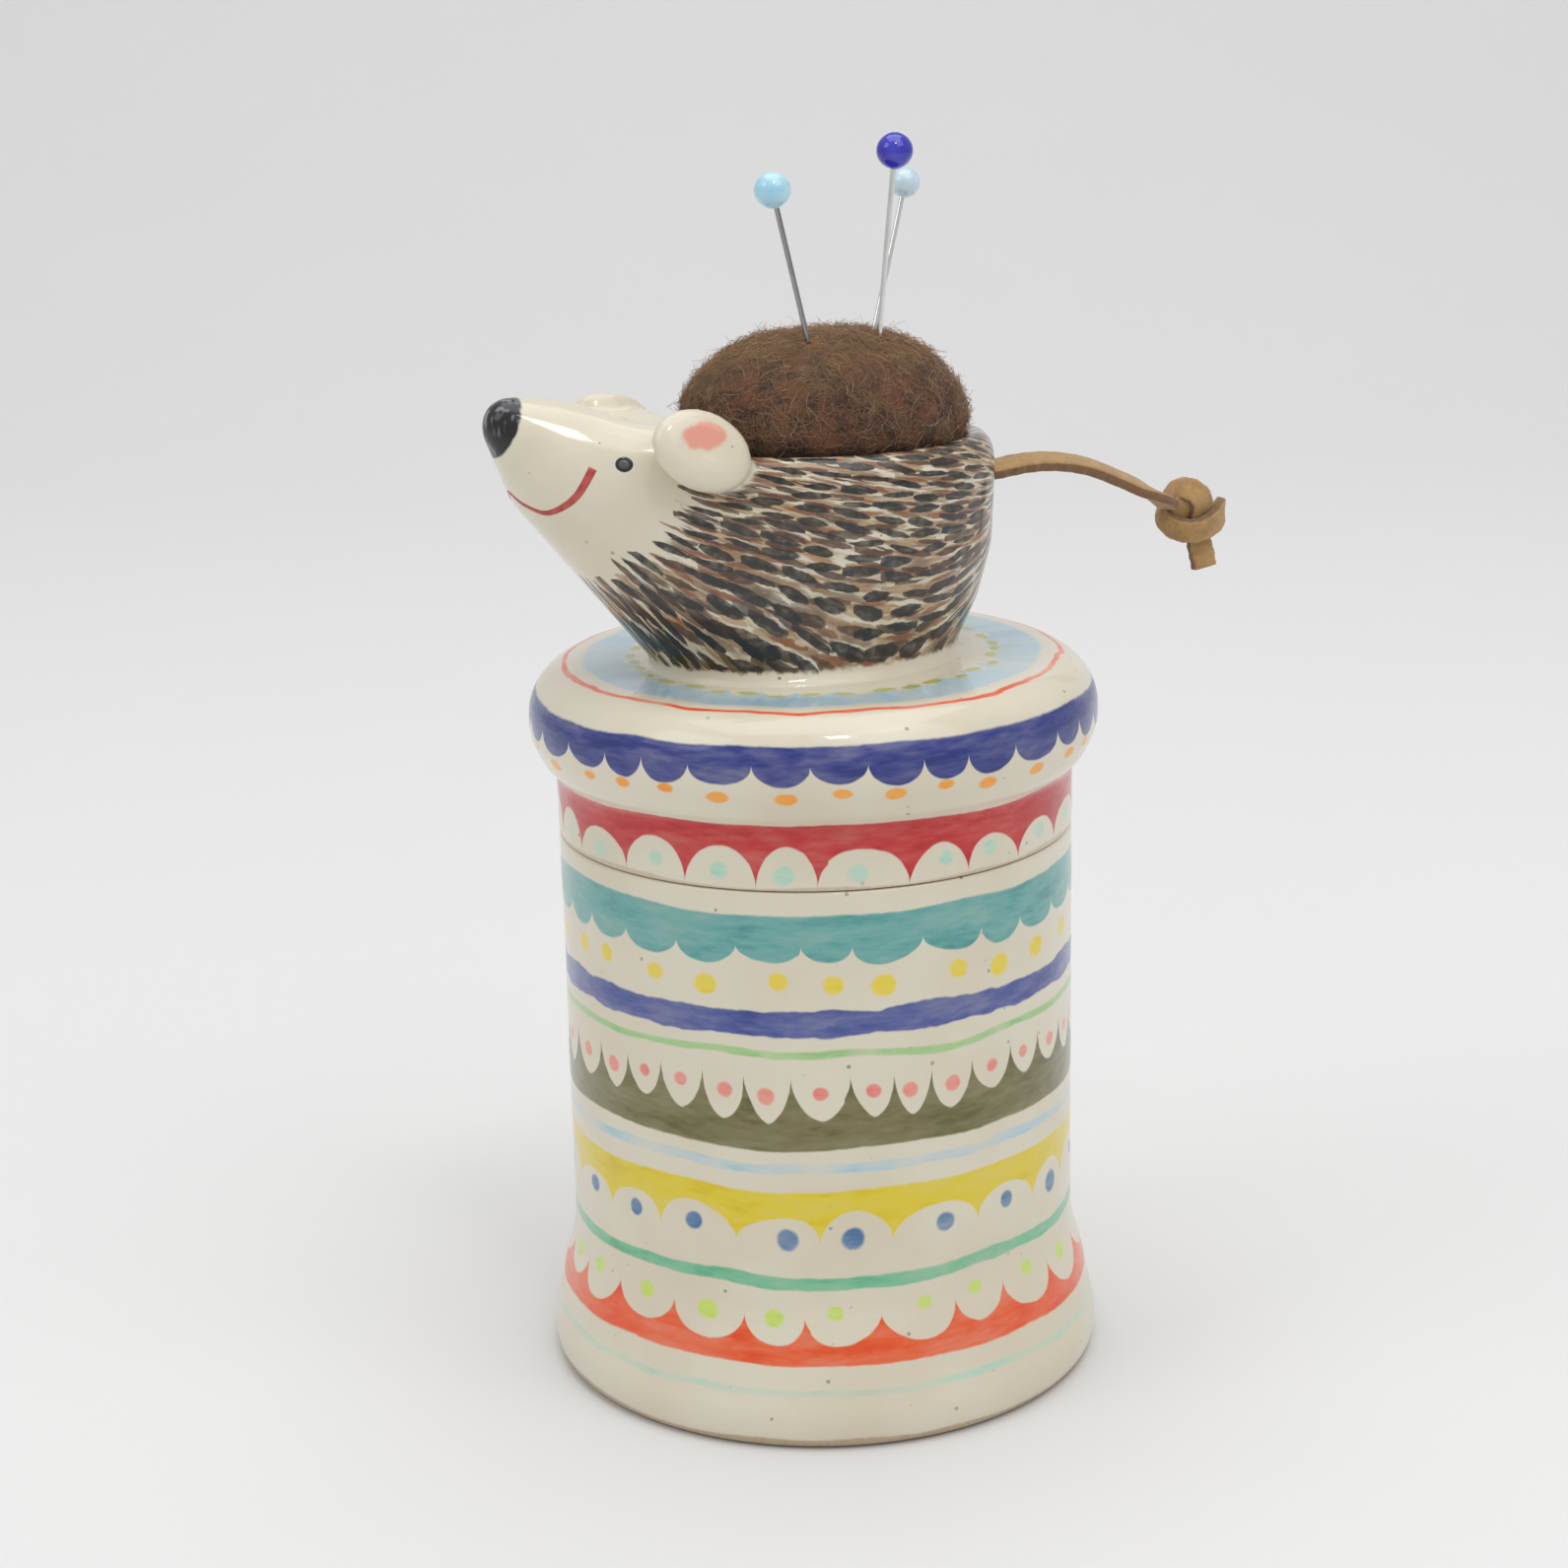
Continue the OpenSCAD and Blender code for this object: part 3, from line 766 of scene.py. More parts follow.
coat = {
    "tan": {
        "Pitch": 1.7, "Step": 5.2, "Long": 5.8, "Wide": 0.9, "Share": 0.75, "strength": 0.7,
        "tones": (rgb(0.42, 0.23, 0.09), rgb(0.26, 0.155, 0.075))},
    "rust": {
        "Pitch": 1.45, "Step": 4.9, "Long": 4.9, "Wide": 0.6, "Share": 0.62, "strength": 0.85,
        "tones": (rgb(0.28, 0.095, 0.035), rgb(0.18, 0.07, 0.03))},
    "brown": {
        "Pitch": 1.35, "Step": 4.7, "Long": 5.0, "Wide": 0.75, "Share": 0.86, "strength": 0.92,
        "tones": (rgb(0.06, 0.03, 0.017), rgb(0.12, 0.058, 0.03))},
    "bare": {
        "Pitch": 1.5, "Step": 4.4, "Long": 5.0, "Wide": 0.3, "Share": 0.6, "strength": 0.86,
        "tones": (rgb(0.68, 0.60, 0.46), rgb(0.52, 0.37, 0.21))},
    "charcoal": {
        "Pitch": 1.5, "Step": 4.3, "Long": 4.5, "Wide": 0.94, "Share": 0.9, "strength": 0.98,
        "tones": (rgb(0.010, 0.012, 0.012), rgb(0.028, 0.028, 0.028))},
}
throat = {"Pitch": 1.25, "Step": 4.0, "Long": 4.2, "Wide": 0.85, "Share": 0.75, "Seed": 91.0}


def makeHedgehogGlaze():
    material, tree, shader = newMaterial("hedgehogGlaze", **glossy)
    p = Painter(tree, 0.0, 0.95)
    colour = p.colour
    along, around, collar = [marked(tree, name) for name in ("along", "around", "behindCollar")]
    ripple = turnVector(tree, "SUBTRACT", noise(tree, p.spot, 0.9, 2.0, out=1), (0.5, 0.5, 0.5))
    rx, ry, rz = apart(tree, ripple)
    along = scaled(tree, rx, 0.7, along)
    around = scaled(tree, ry, 0.4, around)
    under = ramp(tree, plus(tree, collar, times(tree, rz, 2.5)), 0.4, 2.6)
    ears = marked(tree, "offEars")
    stand = ramp(tree, scaled(tree, rz, 1.2, p.height), 84.7, 85.3)
    painted = times(tree, ears, stand)
    flow = together(tree, times(tree, along, 0.16), times(tree, around, 1.1))
    streaks = ramp(tree, noise(tree, flow, 1.0, 3.0, 0.6), 0.42, 0.58, 0.0, 0.85)
    cloud = ramp(tree, noise(tree, p.spot, 0.3, 2.0), 0.4, 0.6)
    tone = mixColour(tree, cloud, rgb(0.38, 0.235, 0.11), rgb(0.20, 0.10, 0.046))
    colour = mixColour(tree, times(tree, times(tree, under, painted), streaks), colour, tone)
    place = {"Along": along, "Around": around, "Collar": collar}
    for seed, paint in enumerate(coat.values()):
        inputs = {k: paint[k] for k in ("Pitch", "Step", "Long", "Wide", "Share")}
        dab = useGroup(tree, brushDabs, {**place, **inputs, "Seed": 11.0 * seed + 3})
        strength = paint["strength"]
        wet = ramp(tree, noise(tree, p.spot, 0.8, 2.0), 0.35, 0.75, strength, strength * 0.8)
        wet = times(tree, times(tree, wet, painted), dab["Mask"])
        colour = mixColour(tree, wet, colour, mixColour(tree, dab["Tone"], *paint["tones"]))
    low = ramp(tree, p.height, 97.0, 90.0)  # the throat is brushed over once more
    extra = useGroup(tree, brushDabs, {**place, **throat})
    front = ramp(tree, along, -4.0, -14.0)
    extra = times(tree, times(tree, extra["Mask"], painted), times(tree, low, front))
    colour = mixColour(tree, extra, colour, rgb(0.014, 0.014, 0.014))
    # the nose is black, with grey vertical streaks that are partly brush marks and partly a painted
    # reflection
    centre = tuple(v / mm for v in own(*face["nose"]))
    nose = turnVector(tree, "DISTANCE", p.spot, centre, out=1)
    nose = scaled(tree, rz, 0.3, nose)
    tip = ramp(tree, nose, *face["noseEdge"])
    drawn = turnVector(tree, "MULTIPLY", p.spot, (1.0, 1.0, 0.3))
    streak = ramp(tree, noise(tree, drawn, 1.1, 1.0), 0.52, 0.68)
    black = mixColour(tree, streak, rgb(0.010, 0.010, 0.012), rgb(0.20, 0.21, 0.23))
    colour = mixColour(tree, tip, colour, black)
    # pink of the ears, one dab a side
    x, y, z = face["earPink"]
    for side in (-1, 1):
        centre = tuple(v / mm for v in own(x, side * y, z))
        away = turnVector(tree, "SUBTRACT", p.spot, centre)
        inputs = {0: away, 3: math.radians(stance["turn"])}
        turned = put(tree, "ShaderNodeVectorRotate", inputs, rotation_type="Z_AXIS", invert=True).outputs[0]
        shape = turnVector(tree, "DIVIDE", turnVector(tree, "ADD", turned, ripple), face["earPinkSize"])
        mask = ramp(tree, turnVector(tree, "LENGTH", shape, out=1), 1.12, 0.8)
        colour = mixColour(tree, times(tree, mask, 0.8), colour, rgb(0.80, 0.26, 0.19))
    p.colour = colour
    finishGlaze(tree, shader, p)
    return material


def onSkin(tree, point, lift):
    spot, normal, _, _ = tree.find_nearest(own(*point))
    return spot + normal * lift * mm, normal


def ribbon(name, skin, route, thick, material):
    # a painted line, lens-shaped across, that lies on the clay
    fine = smoothLine([Vector(q) for q in route], 8)
    verts, count = [], len(fine)
    spots = [onSkin(skin, q, 0.0) for q in fine]
    for k, (spot, normal) in enumerate(spots):
        ahead = (spots[min(k + 1, count - 1)][0] - spots[max(k - 1, 0)][0]).normalized()
        across = normal.cross(ahead).normalized()
        width = 0.62 + 0.38 * (2 * k / (count - 1) - 1) ** 2  # broadest at both ends
        half = width / 2 * mm
        for s, h in ((-1, -0.12), (-0.8, 0.5), (0, 1.0), (0.8, 0.5), (1, -0.12), (0, -0.5)):
            verts.append(spot + across * half * s + normal * thick * h * mm)
    faces = wall(count, 6) + flatEnds(count, 6)
    return addPiece(name, verts, faces, material)


def patch(name, skin, point, wide, tall, thick, slant, material):
    # a small oval of thick colour that follows the clay
    spot, normal = onSkin(skin, point, 0.0)
    upward = (Vector((0, 0, 1)) - normal * normal.z).normalized()
    across = normal.cross(upward)
    verts, faces, rings, around = [], [], 7, 28
    for k in range(rings + 1):
        r = k / rings
        for i in range(around):
            a = 2 * math.pi * i / around
            u, v = r * math.cos(a) * wide / 2, r * math.sin(a) * tall / 2
            u, v = u * math.cos(slant) - v * math.sin(slant), u * math.sin(slant) + v * math.cos(slant)
            target = spot + across * u * mm + upward * v * mm
            near, direction, _, _ = skin.find_nearest(target)
            verts.append(near + direction * (thick * math.sqrt(max(0, 1 - r * r)) - 0.04) * mm)
    for k in range(rings):
        for i in range(around):
            j = (i + 1) % around
            faces.append((k * around + i, (k + 1) * around + i, (k + 1) * around + j, k * around + j))
    low = len(verts)
    verts += [verts[rings * around + i] - normal * 0.15 * mm for i in range(around)]
    for i in range(around):
        j = (i + 1) % around
        faces.append((rings * around + i, low + i, low + j, rings * around + j))
    faces.append(tuple(low + i for i in range(around))[::-1])
    return addPiece(name, verts, faces, material)


def plainGlaze(name, first, second, scale, **values):
    material, tree, shader = newMaterial(name, **values)
    spot = steadySpot(tree)
    tone = ramp(tree, noise(tree, spot, scale, 3.0), 0.35, 0.65)
    tree.links.new(mixColour(tree, tone, first, second), shader.inputs["Base Color"])
    addBump(tree, shader, noise(tree, spot, scale * 2, 2.0), 0.2, 0.0001)
    return material


# the smile from its middle to one corner, one eye and the pink of one ear; the others are mirror images
face = {
    "nose": (-38.4, 0, 112.6), "noseEdge": (3.75, 3.5),
    "earPink": (-20.0, 14.4, 111.7), "earPinkSize": (2.9, 2.9, 1.5),
    "mouth": [(-37.3, -0.3, 105.1), (-36.5, -2.1, 104.0), (-34.9, -4.0, 103.3), (-33.6, -5.6, 103.9),
              (-32.1, -7.0, 105.4), (-30.4, -7.5, 108.2)],
    "mouthThick": 0.07, "eye": (-27.2, 8.4, 108.5), "eyeSlant": 0.1,
    "outline": (2.15, 1.85, 0.10), "pupil": (1.3, 1.1, 0.19),  # how wide, tall and thick
}


def makeHedgehog():
    body = makeHedgehogForm()
    body.data.materials.clear()
    body.data.materials.append(makeHedgehogGlaze())
    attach(body, "lid")
    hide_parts("hedgehog_body", "left_ear", "right_ear")
    mesh = body.data
    points = [v.co.copy() for v in mesh.vertices]
    skin = BVHTree.FromPolygons(points, [tuple(p.vertices) for p in mesh.polygons])
    red = plainGlaze("mouthRed", rgb(0.40, 0.035, 0.03), rgb(0.52, 0.09, 0.07), 0.9, **glossy)
    black = plainGlaze("eyeOutline", rgb(0.012, 0.012, 0.014), rgb(0.03, 0.03, 0.035), 1.0, **glossy)
    grey = plainGlaze("eyeCharcoal", rgb(0.05, 0.055, 0.06), rgb(0.09, 0.095, 0.10), 1.2, **glossy)
    whole = [(x, -y, z) for x, y, z in face["mouth"][::-1]] + face["mouth"][1:]
    extras = [ribbon("paintedMouth", skin, whole, face["mouthThick"], red)]
    x, y, z = face["eye"]
    for side, label in ((-1, "left"), (1, "right")):
        spot, slant = (x, side * y, z), face["eyeSlant"]
        extras.append(patch(label + "EyeOutline", skin, spot, *face["outline"], slant, black))
        extras.append(patch(label + "Eye", skin, spot, *face["pupil"], slant, grey))
    for piece in extras:
        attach(piece, "lid")


makeHedgehog()
print("hedgehog modelled and painted")


wool = {
    "long": 16.15, "wide": 13.25, "middle": 110.6, "low": 103.5, "top": 120.0,
    "bumps": 0.35, "waves": 14, "seed": 4,
    "nap": {
        "Density": 1.15e7, "Fibre length": 3.0 * mm, "Fibre radius": 0.0225 * mm, "Lift": 0.34, "Seed": 5},
    "stray": {
        "Density": 8.0e5, "Fibre length": 3.9 * mm, "Fibre radius": 0.015 * mm, "Lift": 0.75, "Seed": 17},
}


def woolColour(name, felted):
    # the felt below takes its tints from noise, and each fibre carries its own
    material, tree, shader = newMaterial(name, Roughness=0.95, Sheen_Weight=0.25, Sheen_Roughness=0.6)
    spot = steadySpot(tree)
    tint = noise(tree, spot, 1.5, 4.0, 0.7) if felted else marked(tree, "tint")
    mottle = noise(tree, spot, 0.42, 3.0, 0.6)
    patches = noise(tree, spot, 0.17, 2.0, 0.5)
    hue = mixColour(tree, ramp(tree, patches, 0.4, 0.6), rgb(0.30, 0.112, 0.050), rgb(0.25, 0.145, 0.055))
    base = mixColour(tree, ramp(tree, mottle, 0.36, 0.62), rgb(0.085, 0.035, 0.019), hue)
    warm = mixColour(tree, ramp(tree, tint, 0.5, 0.8, 0.0, 0.8), base, rgb(0.36, 0.17, 0.075))
    light = mixColour(tree, ramp(tree, tint, 0.84, 0.98), warm, rgb(0.52, 0.38, 0.19))
    paintedTopLight = ramp(tree, useGroup(tree, paintedPlace, {"Waver": 0.0})["Height"], 113.0, 120.0, 0.0, 0.35)
    light = mixColour(tree, paintedTopLight, light, rgb(0.44, 0.27, 0.11))  # painted light: the top is coloured paler, as if lit from above
    tree.links.new(light, shader.inputs["Base Color"])
    if felted:
        addBump(tree, shader, noise(tree, spot, 2.6, 5.0, 0.7), 0.7, 0.0006)
    return material


def fibreTree(material):
    # short bent strands of wool scattered over a mesh, each turned, sized and tinted by chance
    tree = bpy.data.node_groups.new("feltFibres", "GeometryNodeTree")
    sockets = tree.interface
    sockets.new_socket("Geometry", in_out="INPUT", socket_type="NodeSocketGeometry")
    for label in ("Density", "Fibre length", "Fibre radius", "Lift"):
        sockets.new_socket(label, in_out="INPUT", socket_type="NodeSocketFloat")
    sockets.new_socket("Seed", in_out="INPUT", socket_type="NodeSocketInt")
    sockets.new_socket("Geometry", in_out="OUTPUT", socket_type="NodeSocketGeometry")
    given = tree.nodes.new("NodeGroupInput").outputs
    out = tree.nodes.new("NodeGroupOutput").inputs
    inputs = {"Mesh": given["Geometry"], "Density": given["Density"], "Seed": given["Seed"]}
    points = put(tree, "GeometryNodeDistributePointsOnFaces", inputs)
    inputs = {"Start": (-0.5, 0.0, -0.05), "Middle": (0.05, 0.3, 0.10), "End": (0.5, -0.05, 0.14)}
    bend = put(tree, "GeometryNodeCurveQuadraticBezier", {"Resolution": 4, **inputs})
    inputs = {"Resolution": 3, "Radius": given["Fibre radius"]}
    across = put(tree, "GeometryNodeCurvePrimitiveCircle", inputs)
    length = together(tree, *[given["Fibre length"]] * 3)
    sized = put(tree, "GeometryNodeTransform", {"Geometry": bend.outputs[0], "Scale": length})
    inputs = {"Curve": sized.outputs[0], "Profile Curve": across.outputs[0], "Fill Caps": True}
    strand = put(tree, "GeometryNodeCurveToMesh", inputs)
    lift, dip = given["Lift"], times(tree, given["Lift"], -1.0)
    inputs = {"Min": together(tree, dip, dip), "Max": together(tree, lift, lift, 6.283), "Seed": 3}
    spin = put(tree, "FunctionNodeRandomValue", inputs, data_type="FLOAT_VECTOR")
    inputs = {0: points.outputs["Rotation"], 1: spin.outputs[0]}
    turned = put(tree, "FunctionNodeRotateRotation", inputs, rotation_space="LOCAL")
    size = put(tree, "FunctionNodeRandomValue", {2: 0.45, 3: 1.25, "Seed": 8}, data_type="FLOAT")
    inputs = {"Points": points.outputs["Points"], "Instance": strand.outputs[0],
              "Rotation": turned.outputs[0], "Scale": size.outputs[1]}
    placed = put(tree, "GeometryNodeInstanceOnPoints", inputs)
    tint = put(tree, "FunctionNodeRandomValue", {2: 0.0, 3: 1.0, "Seed": 21}, data_type="FLOAT")
    inputs = {"Geometry": placed.outputs[0], "Name": "tint", "Value": tint.outputs[1]}
    tinted = put(tree, "GeometryNodeStoreNamedAttribute", inputs, data_type="FLOAT", domain="INSTANCE")
    real = put(tree, "GeometryNodeRealizeInstances", {"Geometry": tinted.outputs[0]})
    done = put(tree, "GeometryNodeSetMaterial", {"Geometry": real.outputs[0], "Material": material})
    tree.links.new(done.outputs[0], out[0])
    return tree


def grown(host, name, tree, values):
    # runs a node tree on a copy of the host's mesh and keeps the result as a plain piece
    maker = bpy.data.objects.new("maker", host.data.copy())
    bpy.context.scene.collection.objects.link(maker)
    change = maker.modifiers.new("grow", "NODES")
    change.node_group = tree
    sockets = {s.name: s.identifier for s in tree.interface.items_tree if s.in_out == "INPUT"}
    for label, value in values.items():
        change[sockets[label]] = value
    mesh = bpy.data.meshes.new_from_object(maker.evaluated_get(bpy.context.evaluated_depsgraph_get()))
    bpy.data.objects.remove(maker)
    mesh.name = name
    piece = bpy.data.objects.new(name, mesh)
    bpy.context.scene.collection.objects.link(piece)
    return piece


def makeCushion():
    # felted wool ball pressed into the bowl: widest just over the lip, tucked in below
    size = wool
    dice = random.Random(size["seed"])
    limits = ((-1, 1), (-1, 1), (-1, 1), (0.25, 0.75), (0, 6.3))
    waves = [[dice.uniform(*pair) for pair in limits] for _ in range(size["waves"])]
    verts, rings, around = [], 64, 128
    for k in range(1, rings):
        t = math.pi * k / rings - math.pi / 2
        for i in range(around):
            a = 2 * math.pi * i / around
            full = 0.86 if t < 0 else 0.91 + 0.1 * math.cos(a + math.pi)
            out = abs(math.cos(t)) ** full
            if t < 0:
                z = size["middle"] + (size["middle"] - size["low"]) * math.sin(t)
                out *= 1 - 0.06 * abs(math.sin(t))
            else:
                z = size["middle"] + (size["top"] - size["middle"]) * math.sin(t) ** 1.05
            x, y = out * size["long"] * math.cos(a), out * size["wide"] * math.sin(a)
            z += 0.75 * math.cos(a + math.pi) * max(0, math.cos(t)) * (1 if t > -0.6 else 0)
            swell = sum(math.sin((u * x + v * y + w * z) * f + q) for u, v, w, f, q in waves)
            bump = swell / 5 * size["bumps"]
            grow = 1 + bump / 14
            verts.append(own(x * grow + 0.1, y * grow, z + bump * max(0, math.sin(t))))
    faces = wall(rings - 1, around) + flatEnds(rings - 1, around)
    cushion = addPiece("woolCushion", verts, faces, woolColour("feltedWool", True))
    growth = fibreTree(woolColour("woolFibre", False))
    fibres = grown(cushion, "woolFibres", growth, size["nap"])
    stray = grown(cushion, "strayFibres", growth, size["stray"])
    for piece in (cushion, fibres, stray):
        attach(piece, "lid")
    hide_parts("cushion_cover", "cushion_stuffing")
    print("wool cushion felted,", len(fibres.data.polygons), "fibre faces")


makeCushion()


lace = {
    "wide": 3.0, "thick": 1.45, "turned": 20.0, "exitX": 19.6, "exitZ": 102.5, "steps": 10,
    "knotAt": (27.8, -7.4),
    "route": [(-5, -0.5), (-3, -0.3), (-1, -0.1), (2, 0.1), (5, 0.4), (8, 0.4), (11, 0.0), (14, -0.8),
              (17.5, -2.3), (21, -4.0), (24, -5.7)],
    "knot": [(-2.6, 1.1, 0.9), (-0.9, 0.3, 0.5), (0.7, -0.5, -0.8), (2.2, -0.4, -1.5), (3.3, 0.2, -0.5),
             (2.9, -0.7, 0.9), (1.4, -1.6, 1.7), (-0.4, -1.9, 1.8), (-2.2, -1.5, 1.2), (-3.2, -0.3, 0.1),
             (-2.7, 1.1, -1.2), (-1.7, 2.5, -0.3), (-0.4, 2.8, 0.8), (0.8, 2.0, 1.2), (1.1, 0.5, 0.6),
             (0.9, -1.3, 0.1), (0.9, -3.2, 0.0), (1.3, -5.0, 0.0), (1.6, -6.6, 0.0)],
}


def laceRoute():
    spots = [own(lace["exitX"] + x, 0, lace["exitZ"] + z) for x, z in lace["route"]]
    middle = own(lace["exitX"] + lace["knotAt"][0], 0, lace["exitZ"] + lace["knotAt"][1])
    spots += [middle + Vector((a, -c, b)) * mm for a, b, c in lace["knot"]]
    return smoothLine(spots, lace["steps"]), middle


def suede():
    material, tree, shader = newMaterial("suedeLace", Roughness=0.88, Sheen_Weight=0.3, Sheen_Roughness=0.5)
    spot = steadySpot(tree)
    flat = marked(tree, "face")
    grain = noise(tree, spot, 1.8, 4.0, 0.65)
    nap = noise(tree, spot, 0.5, 2.0)
    golden = mixColour(tree, grain, rgb(0.34, 0.18, 0.06), rgb(0.64, 0.41, 0.16))
    golden = mixColour(tree, ramp(tree, nap, 0.4, 0.7, 0.0, 0.5), golden, rgb(0.30, 0.17, 0.08))
    edge = mixColour(tree, grain, rgb(0.14, 0.065, 0.026), rgb(0.32, 0.175, 0.08))
    tree.links.new(mixColour(tree, flat, edge, golden), shader.inputs["Base Color"])
    addBump(tree, shader, noise(tree, spot, 5.0, 5.0, 0.7), 0.6, 0.0003)
    return material


def makeLace():
    line, middle = laceRoute()
    count, across = len(line), 20
    knotFrom = len(lace["route"]) * lace["steps"] - 6
    verts, flat = [], []
    side = None
    for k, spot in enumerate(line):
        ahead = (line[min(k + 1, count - 1)] - line[max(k - 1, 0)]).normalized()
        if side is None:
            side = ahead.cross(Vector((0, 0, 1))).normalized()
            side = Matrix.Rotation(math.radians(lace["turned"]), 3, ahead) @ side
        if k > knotFrom - 24:  # the flat of the lace turns to lie on the knot
            outward = spot - middle
            lean = ahead.cross(Vector((outward.x, outward.y - 2.0 * mm, outward.z * 0.6)).normalized())
            if lean.length > 0.3:
                lean = lean if lean.dot(side) > 0 else -lean
                side = side.lerp(lean.normalized(), 0.3 if k > knotFrom + 6 else 0.06)
        side = (side - ahead * side.dot(ahead)).normalized()
        top = side.cross(ahead).normalized()
        tight = min(1.0, max(0.0, (k - knotFrom) / 8)) * min(1.0, max(0.0, (count - 12 - k) / 8))
        wide, thick = lace["wide"] * (1 - 0.04 * tight), lace["thick"] * (1 - 0.05 * tight)
        fray = 1 + 0.03 * math.sin(k * 0.9) + 0.02 * math.sin(k * 2.3 + 1)
        for i in range(across):
            a = 2 * math.pi * i / across
            u = math.copysign(abs(math.cos(a)) ** 0.45, math.cos(a)) * wide / 2 * fray
            v = math.copysign(abs(math.sin(a)) ** 0.45, math.sin(a)) * thick / 2
            verts.append(spot + (side * u + top * v) * mm)
            flat.append(1.0 if abs(math.sin(a)) > 0.35 else 0.0)
    faces = wall(count, across) + flatEnds(count, across)
    material = suede()
    piece = addPiece("tailLace", verts, faces, material)
    storeNumbers(piece.data, "face", flat)
    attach(piece, "lid")
    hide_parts("tail_lace", "tail_end_knot")
    dress("tail_stopper_knot", material)
    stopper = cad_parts["tail_stopper_knot"].data
    storeNumbers(stopper, "face", [0.6] * len(stopper.vertices))


makeLace()
print("tail lace knotted")


glassPins = {
    # two tones of the glass, how clear it is, the bead's share of its full size
    "light_blue": (rgb(0.42, 0.75, 0.94), rgb(0.58, 0.86, 0.97), 0.12, 1.0),
    "dark_blue": (rgb(0.016, 0.012, 0.44), rgb(0.05, 0.05, 0.58), 0.12, 1.0),
    "pale": (rgb(0.56, 0.80, 0.95), rgb(0.80, 0.92, 0.97), 0.2, 0.84),
}


def makeSteel(name, dull, bright):
    material, tree, shader = newMaterial(name, Metallic=1.0, Roughness=0.16)
    spot = steadySpot(tree)
    drawn = noise(tree, turnVector(tree, "MULTIPLY", spot, (6.0, 6.0, 0.4)), 1.0, 3.0)
    tree.links.new(mixColour(tree, drawn, dull, bright), shader.inputs["Base Color"])
    addBump(tree, shader, drawn, 0.2, 0.00005)
    return material


def makeBead(name, low, high, first, second, clear, share):
    finish = {"Roughness": 0.06, "IOR": 1.5, "Coat_Weight": 0.5, "Coat_Roughness": 0.03,
              "Transmission_Weight": clear, "Subsurface_Weight": 0.15,
              "Subsurface_Radius": (0.001, 0.001, 0.001)}
    material, tree, shader = newMaterial(name + "Glass", **finish)
    spot = steadySpot(tree)
    cloud = ramp(tree, noise(tree, spot, 0.35, 2.0), 0.35, 0.65)
    tree.links.new(mixColour(tree, cloud, first, second), shader.inputs["Base Color"])
    middle, radius = (low + high) / 2, (high - low).z / 2 * share
    verts, rings, around = [], 30, 40
    for k in range(1, rings):
        t = math.pi * k / rings - math.pi / 2
        for i in range(around):
            a = 2 * math.pi * i / around
            r = radius * (1 + 0.012 * math.sin(2 * a + t) + 0.01 * math.cos(3 * t))
            level = r * math.cos(t)
            verts.append(middle + Vector((level * math.cos(a), level * math.sin(a), r * math.sin(t))))
    verts += [middle - Vector((0, 0, radius)), middle + Vector((0, 0, radius))]
    faces = wall(rings - 1, around) + pointedEnds(rings - 1, around)
    return addPiece(name, verts, faces, material)


def makePins():
    steel = makeSteel("pinSteel", rgb(0.66, 0.66, 0.65), rgb(0.94, 0.94, 0.92))
    # painted shade and reflection: a darker copy of the same steel, for the light blue pin's shaft where it
    # reflects dark surroundings
    shadedSteel = makeSteel("shadedPinSteel", rgb(0.20, 0.20, 0.20), rgb(0.42, 0.42, 0.41))
    for label, (first, second, clear, share) in glassPins.items():
        words = label.split("_")
        name = words[0] + "".join(w.capitalize() for w in words[1:]) + "Bead"
        low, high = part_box("pin_head_" + label)
        bead = makeBead(name, low, high, first, second, clear, share)
        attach(bead, label + "_pin")
        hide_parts("pin_head_" + label)
        dress("pin_shaft_" + label, shadedSteel if label == "light_blue" else steel)


makePins()
print("pins set")


def makeHidden():
    glue = plainGlaze("clearGlue", rgb(0.62, 0.58, 0.46), rgb(0.70, 0.66, 0.54), 0.4, Roughness=0.2)
    cotton = plainGlaze("gatheringCotton", rgb(0.10, 0.06, 0.04), rgb(0.2, 0.13, 0.09), 3.0, Roughness=0.9)
    dress("cushion_adhesive", glue)
    dress("gathering_thread", cotton)


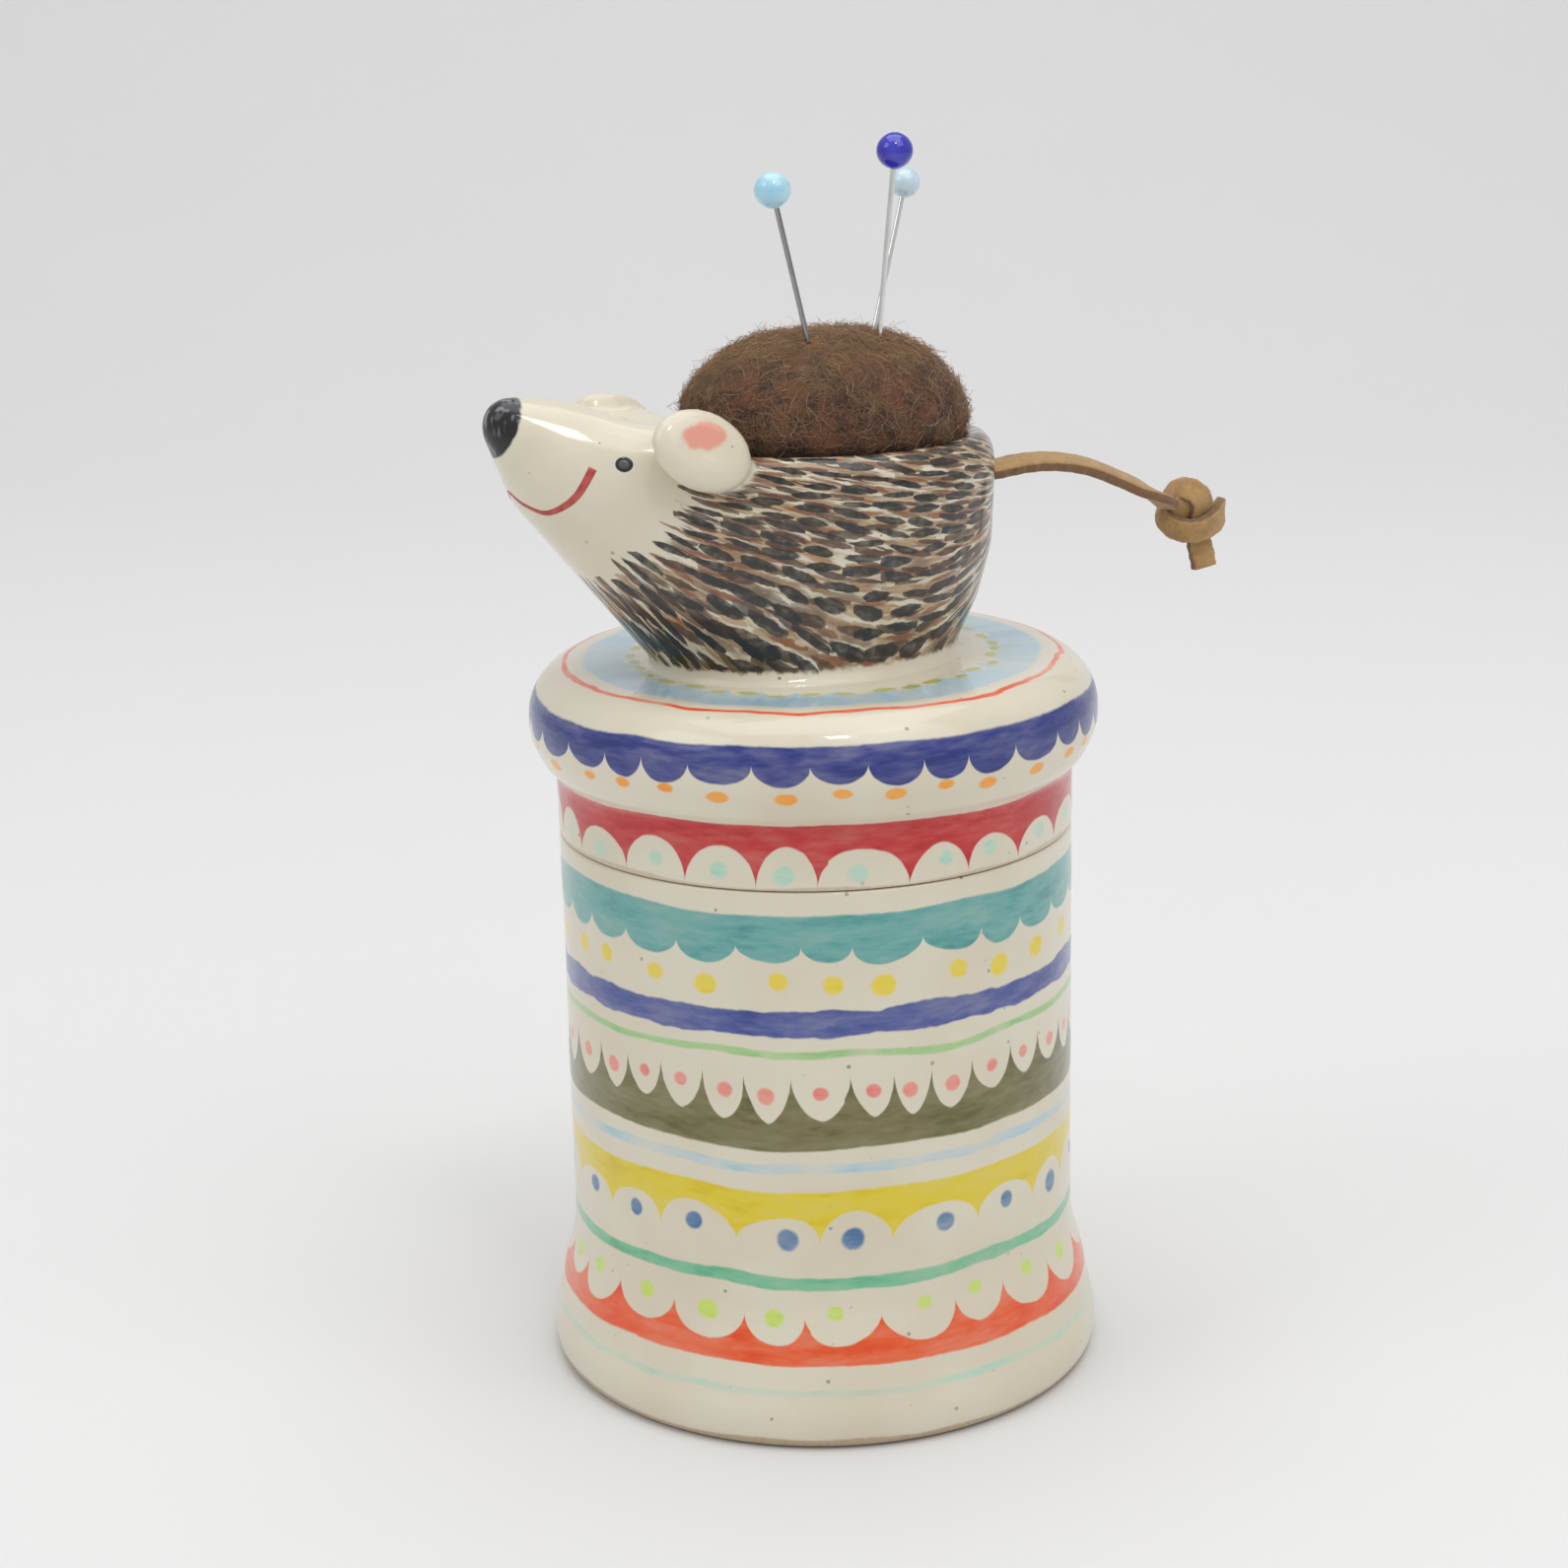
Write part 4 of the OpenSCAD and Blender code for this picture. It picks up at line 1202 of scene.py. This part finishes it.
makeHidden()


studio = {
    "floor": 0.80, "room": 0.56,
    "lights": {
        # where it hangs, where it aims, how wide it is, its power
        "softKey": ((0.5, -0.45, 0.95), (0, 0, 0.06), 0.7, 2.15),
        "softFill": ((-0.75, -0.4, 0.8), (0, 0, 0.06), 0.5, 1.3),
        "softTop": ((0.0, 0.15, 1.25), (0, 0, 0.05), 1.1, 6.1),
        "smallGlint": ((0.1, -0.38, 0.75), (0, 0, 0.1), 0.1, 0.42),
    },
}


def addLight(name, place, aim, size, power):
    data = bpy.data.lights.new(name, "AREA")
    data.shape = "SQUARE"
    data.size = size
    data.energy = power
    thing = bpy.data.objects.new(name, data)
    bpy.context.scene.collection.objects.link(thing)
    thing.location = place
    thing.rotation_euler = (Vector(aim) - Vector(place)).to_track_quat("-Z", "Y").to_euler()


def makeStudio():
    material, tree, shader = newMaterial("paleSweep", Roughness=0.9)
    spot = steadySpot(tree)
    grey = studio["floor"]
    tone = noise(tree, spot, 0.02, 2.0)
    paler, darker = rgb(grey, grey, grey), rgb(*[grey * 0.985] * 3)
    tree.links.new(mixColour(tree, tone, paler, darker), shader.inputs["Base Color"])
    verts, faces = [], []
    curve = [(-1.5, 0.0), (0.6, 0.0)]
    for k in range(1, 25):
        a = math.pi / 2 * k / 24
        curve.append((0.6 + 0.7 * math.sin(a), 0.7 - 0.7 * math.cos(a)))
    curve.append((1.3, 3.0))
    for y, z in curve:
        verts += [(-3.0, y, z), (3.0, y, z)]
    for k in range(len(curve) - 1):
        faces.append((2 * k, 2 * k + 1, 2 * k + 3, 2 * k + 2))
    addPiece("studioSweep", verts, faces, material)
    for name, light in studio["lights"].items():
        addLight(name, *light)
    world = bpy.data.worlds.new("studioRoom")
    bpy.context.scene.world = world
    world.use_nodes = True
    world.node_tree.nodes["Background"].inputs[0].default_value = (1, 1, 1, 1)
    world.node_tree.nodes["Background"].inputs[1].default_value = studio["room"]
    bpy.context.scene.view_settings.view_transform = "Standard"


makeStudio()
print("studio lit")
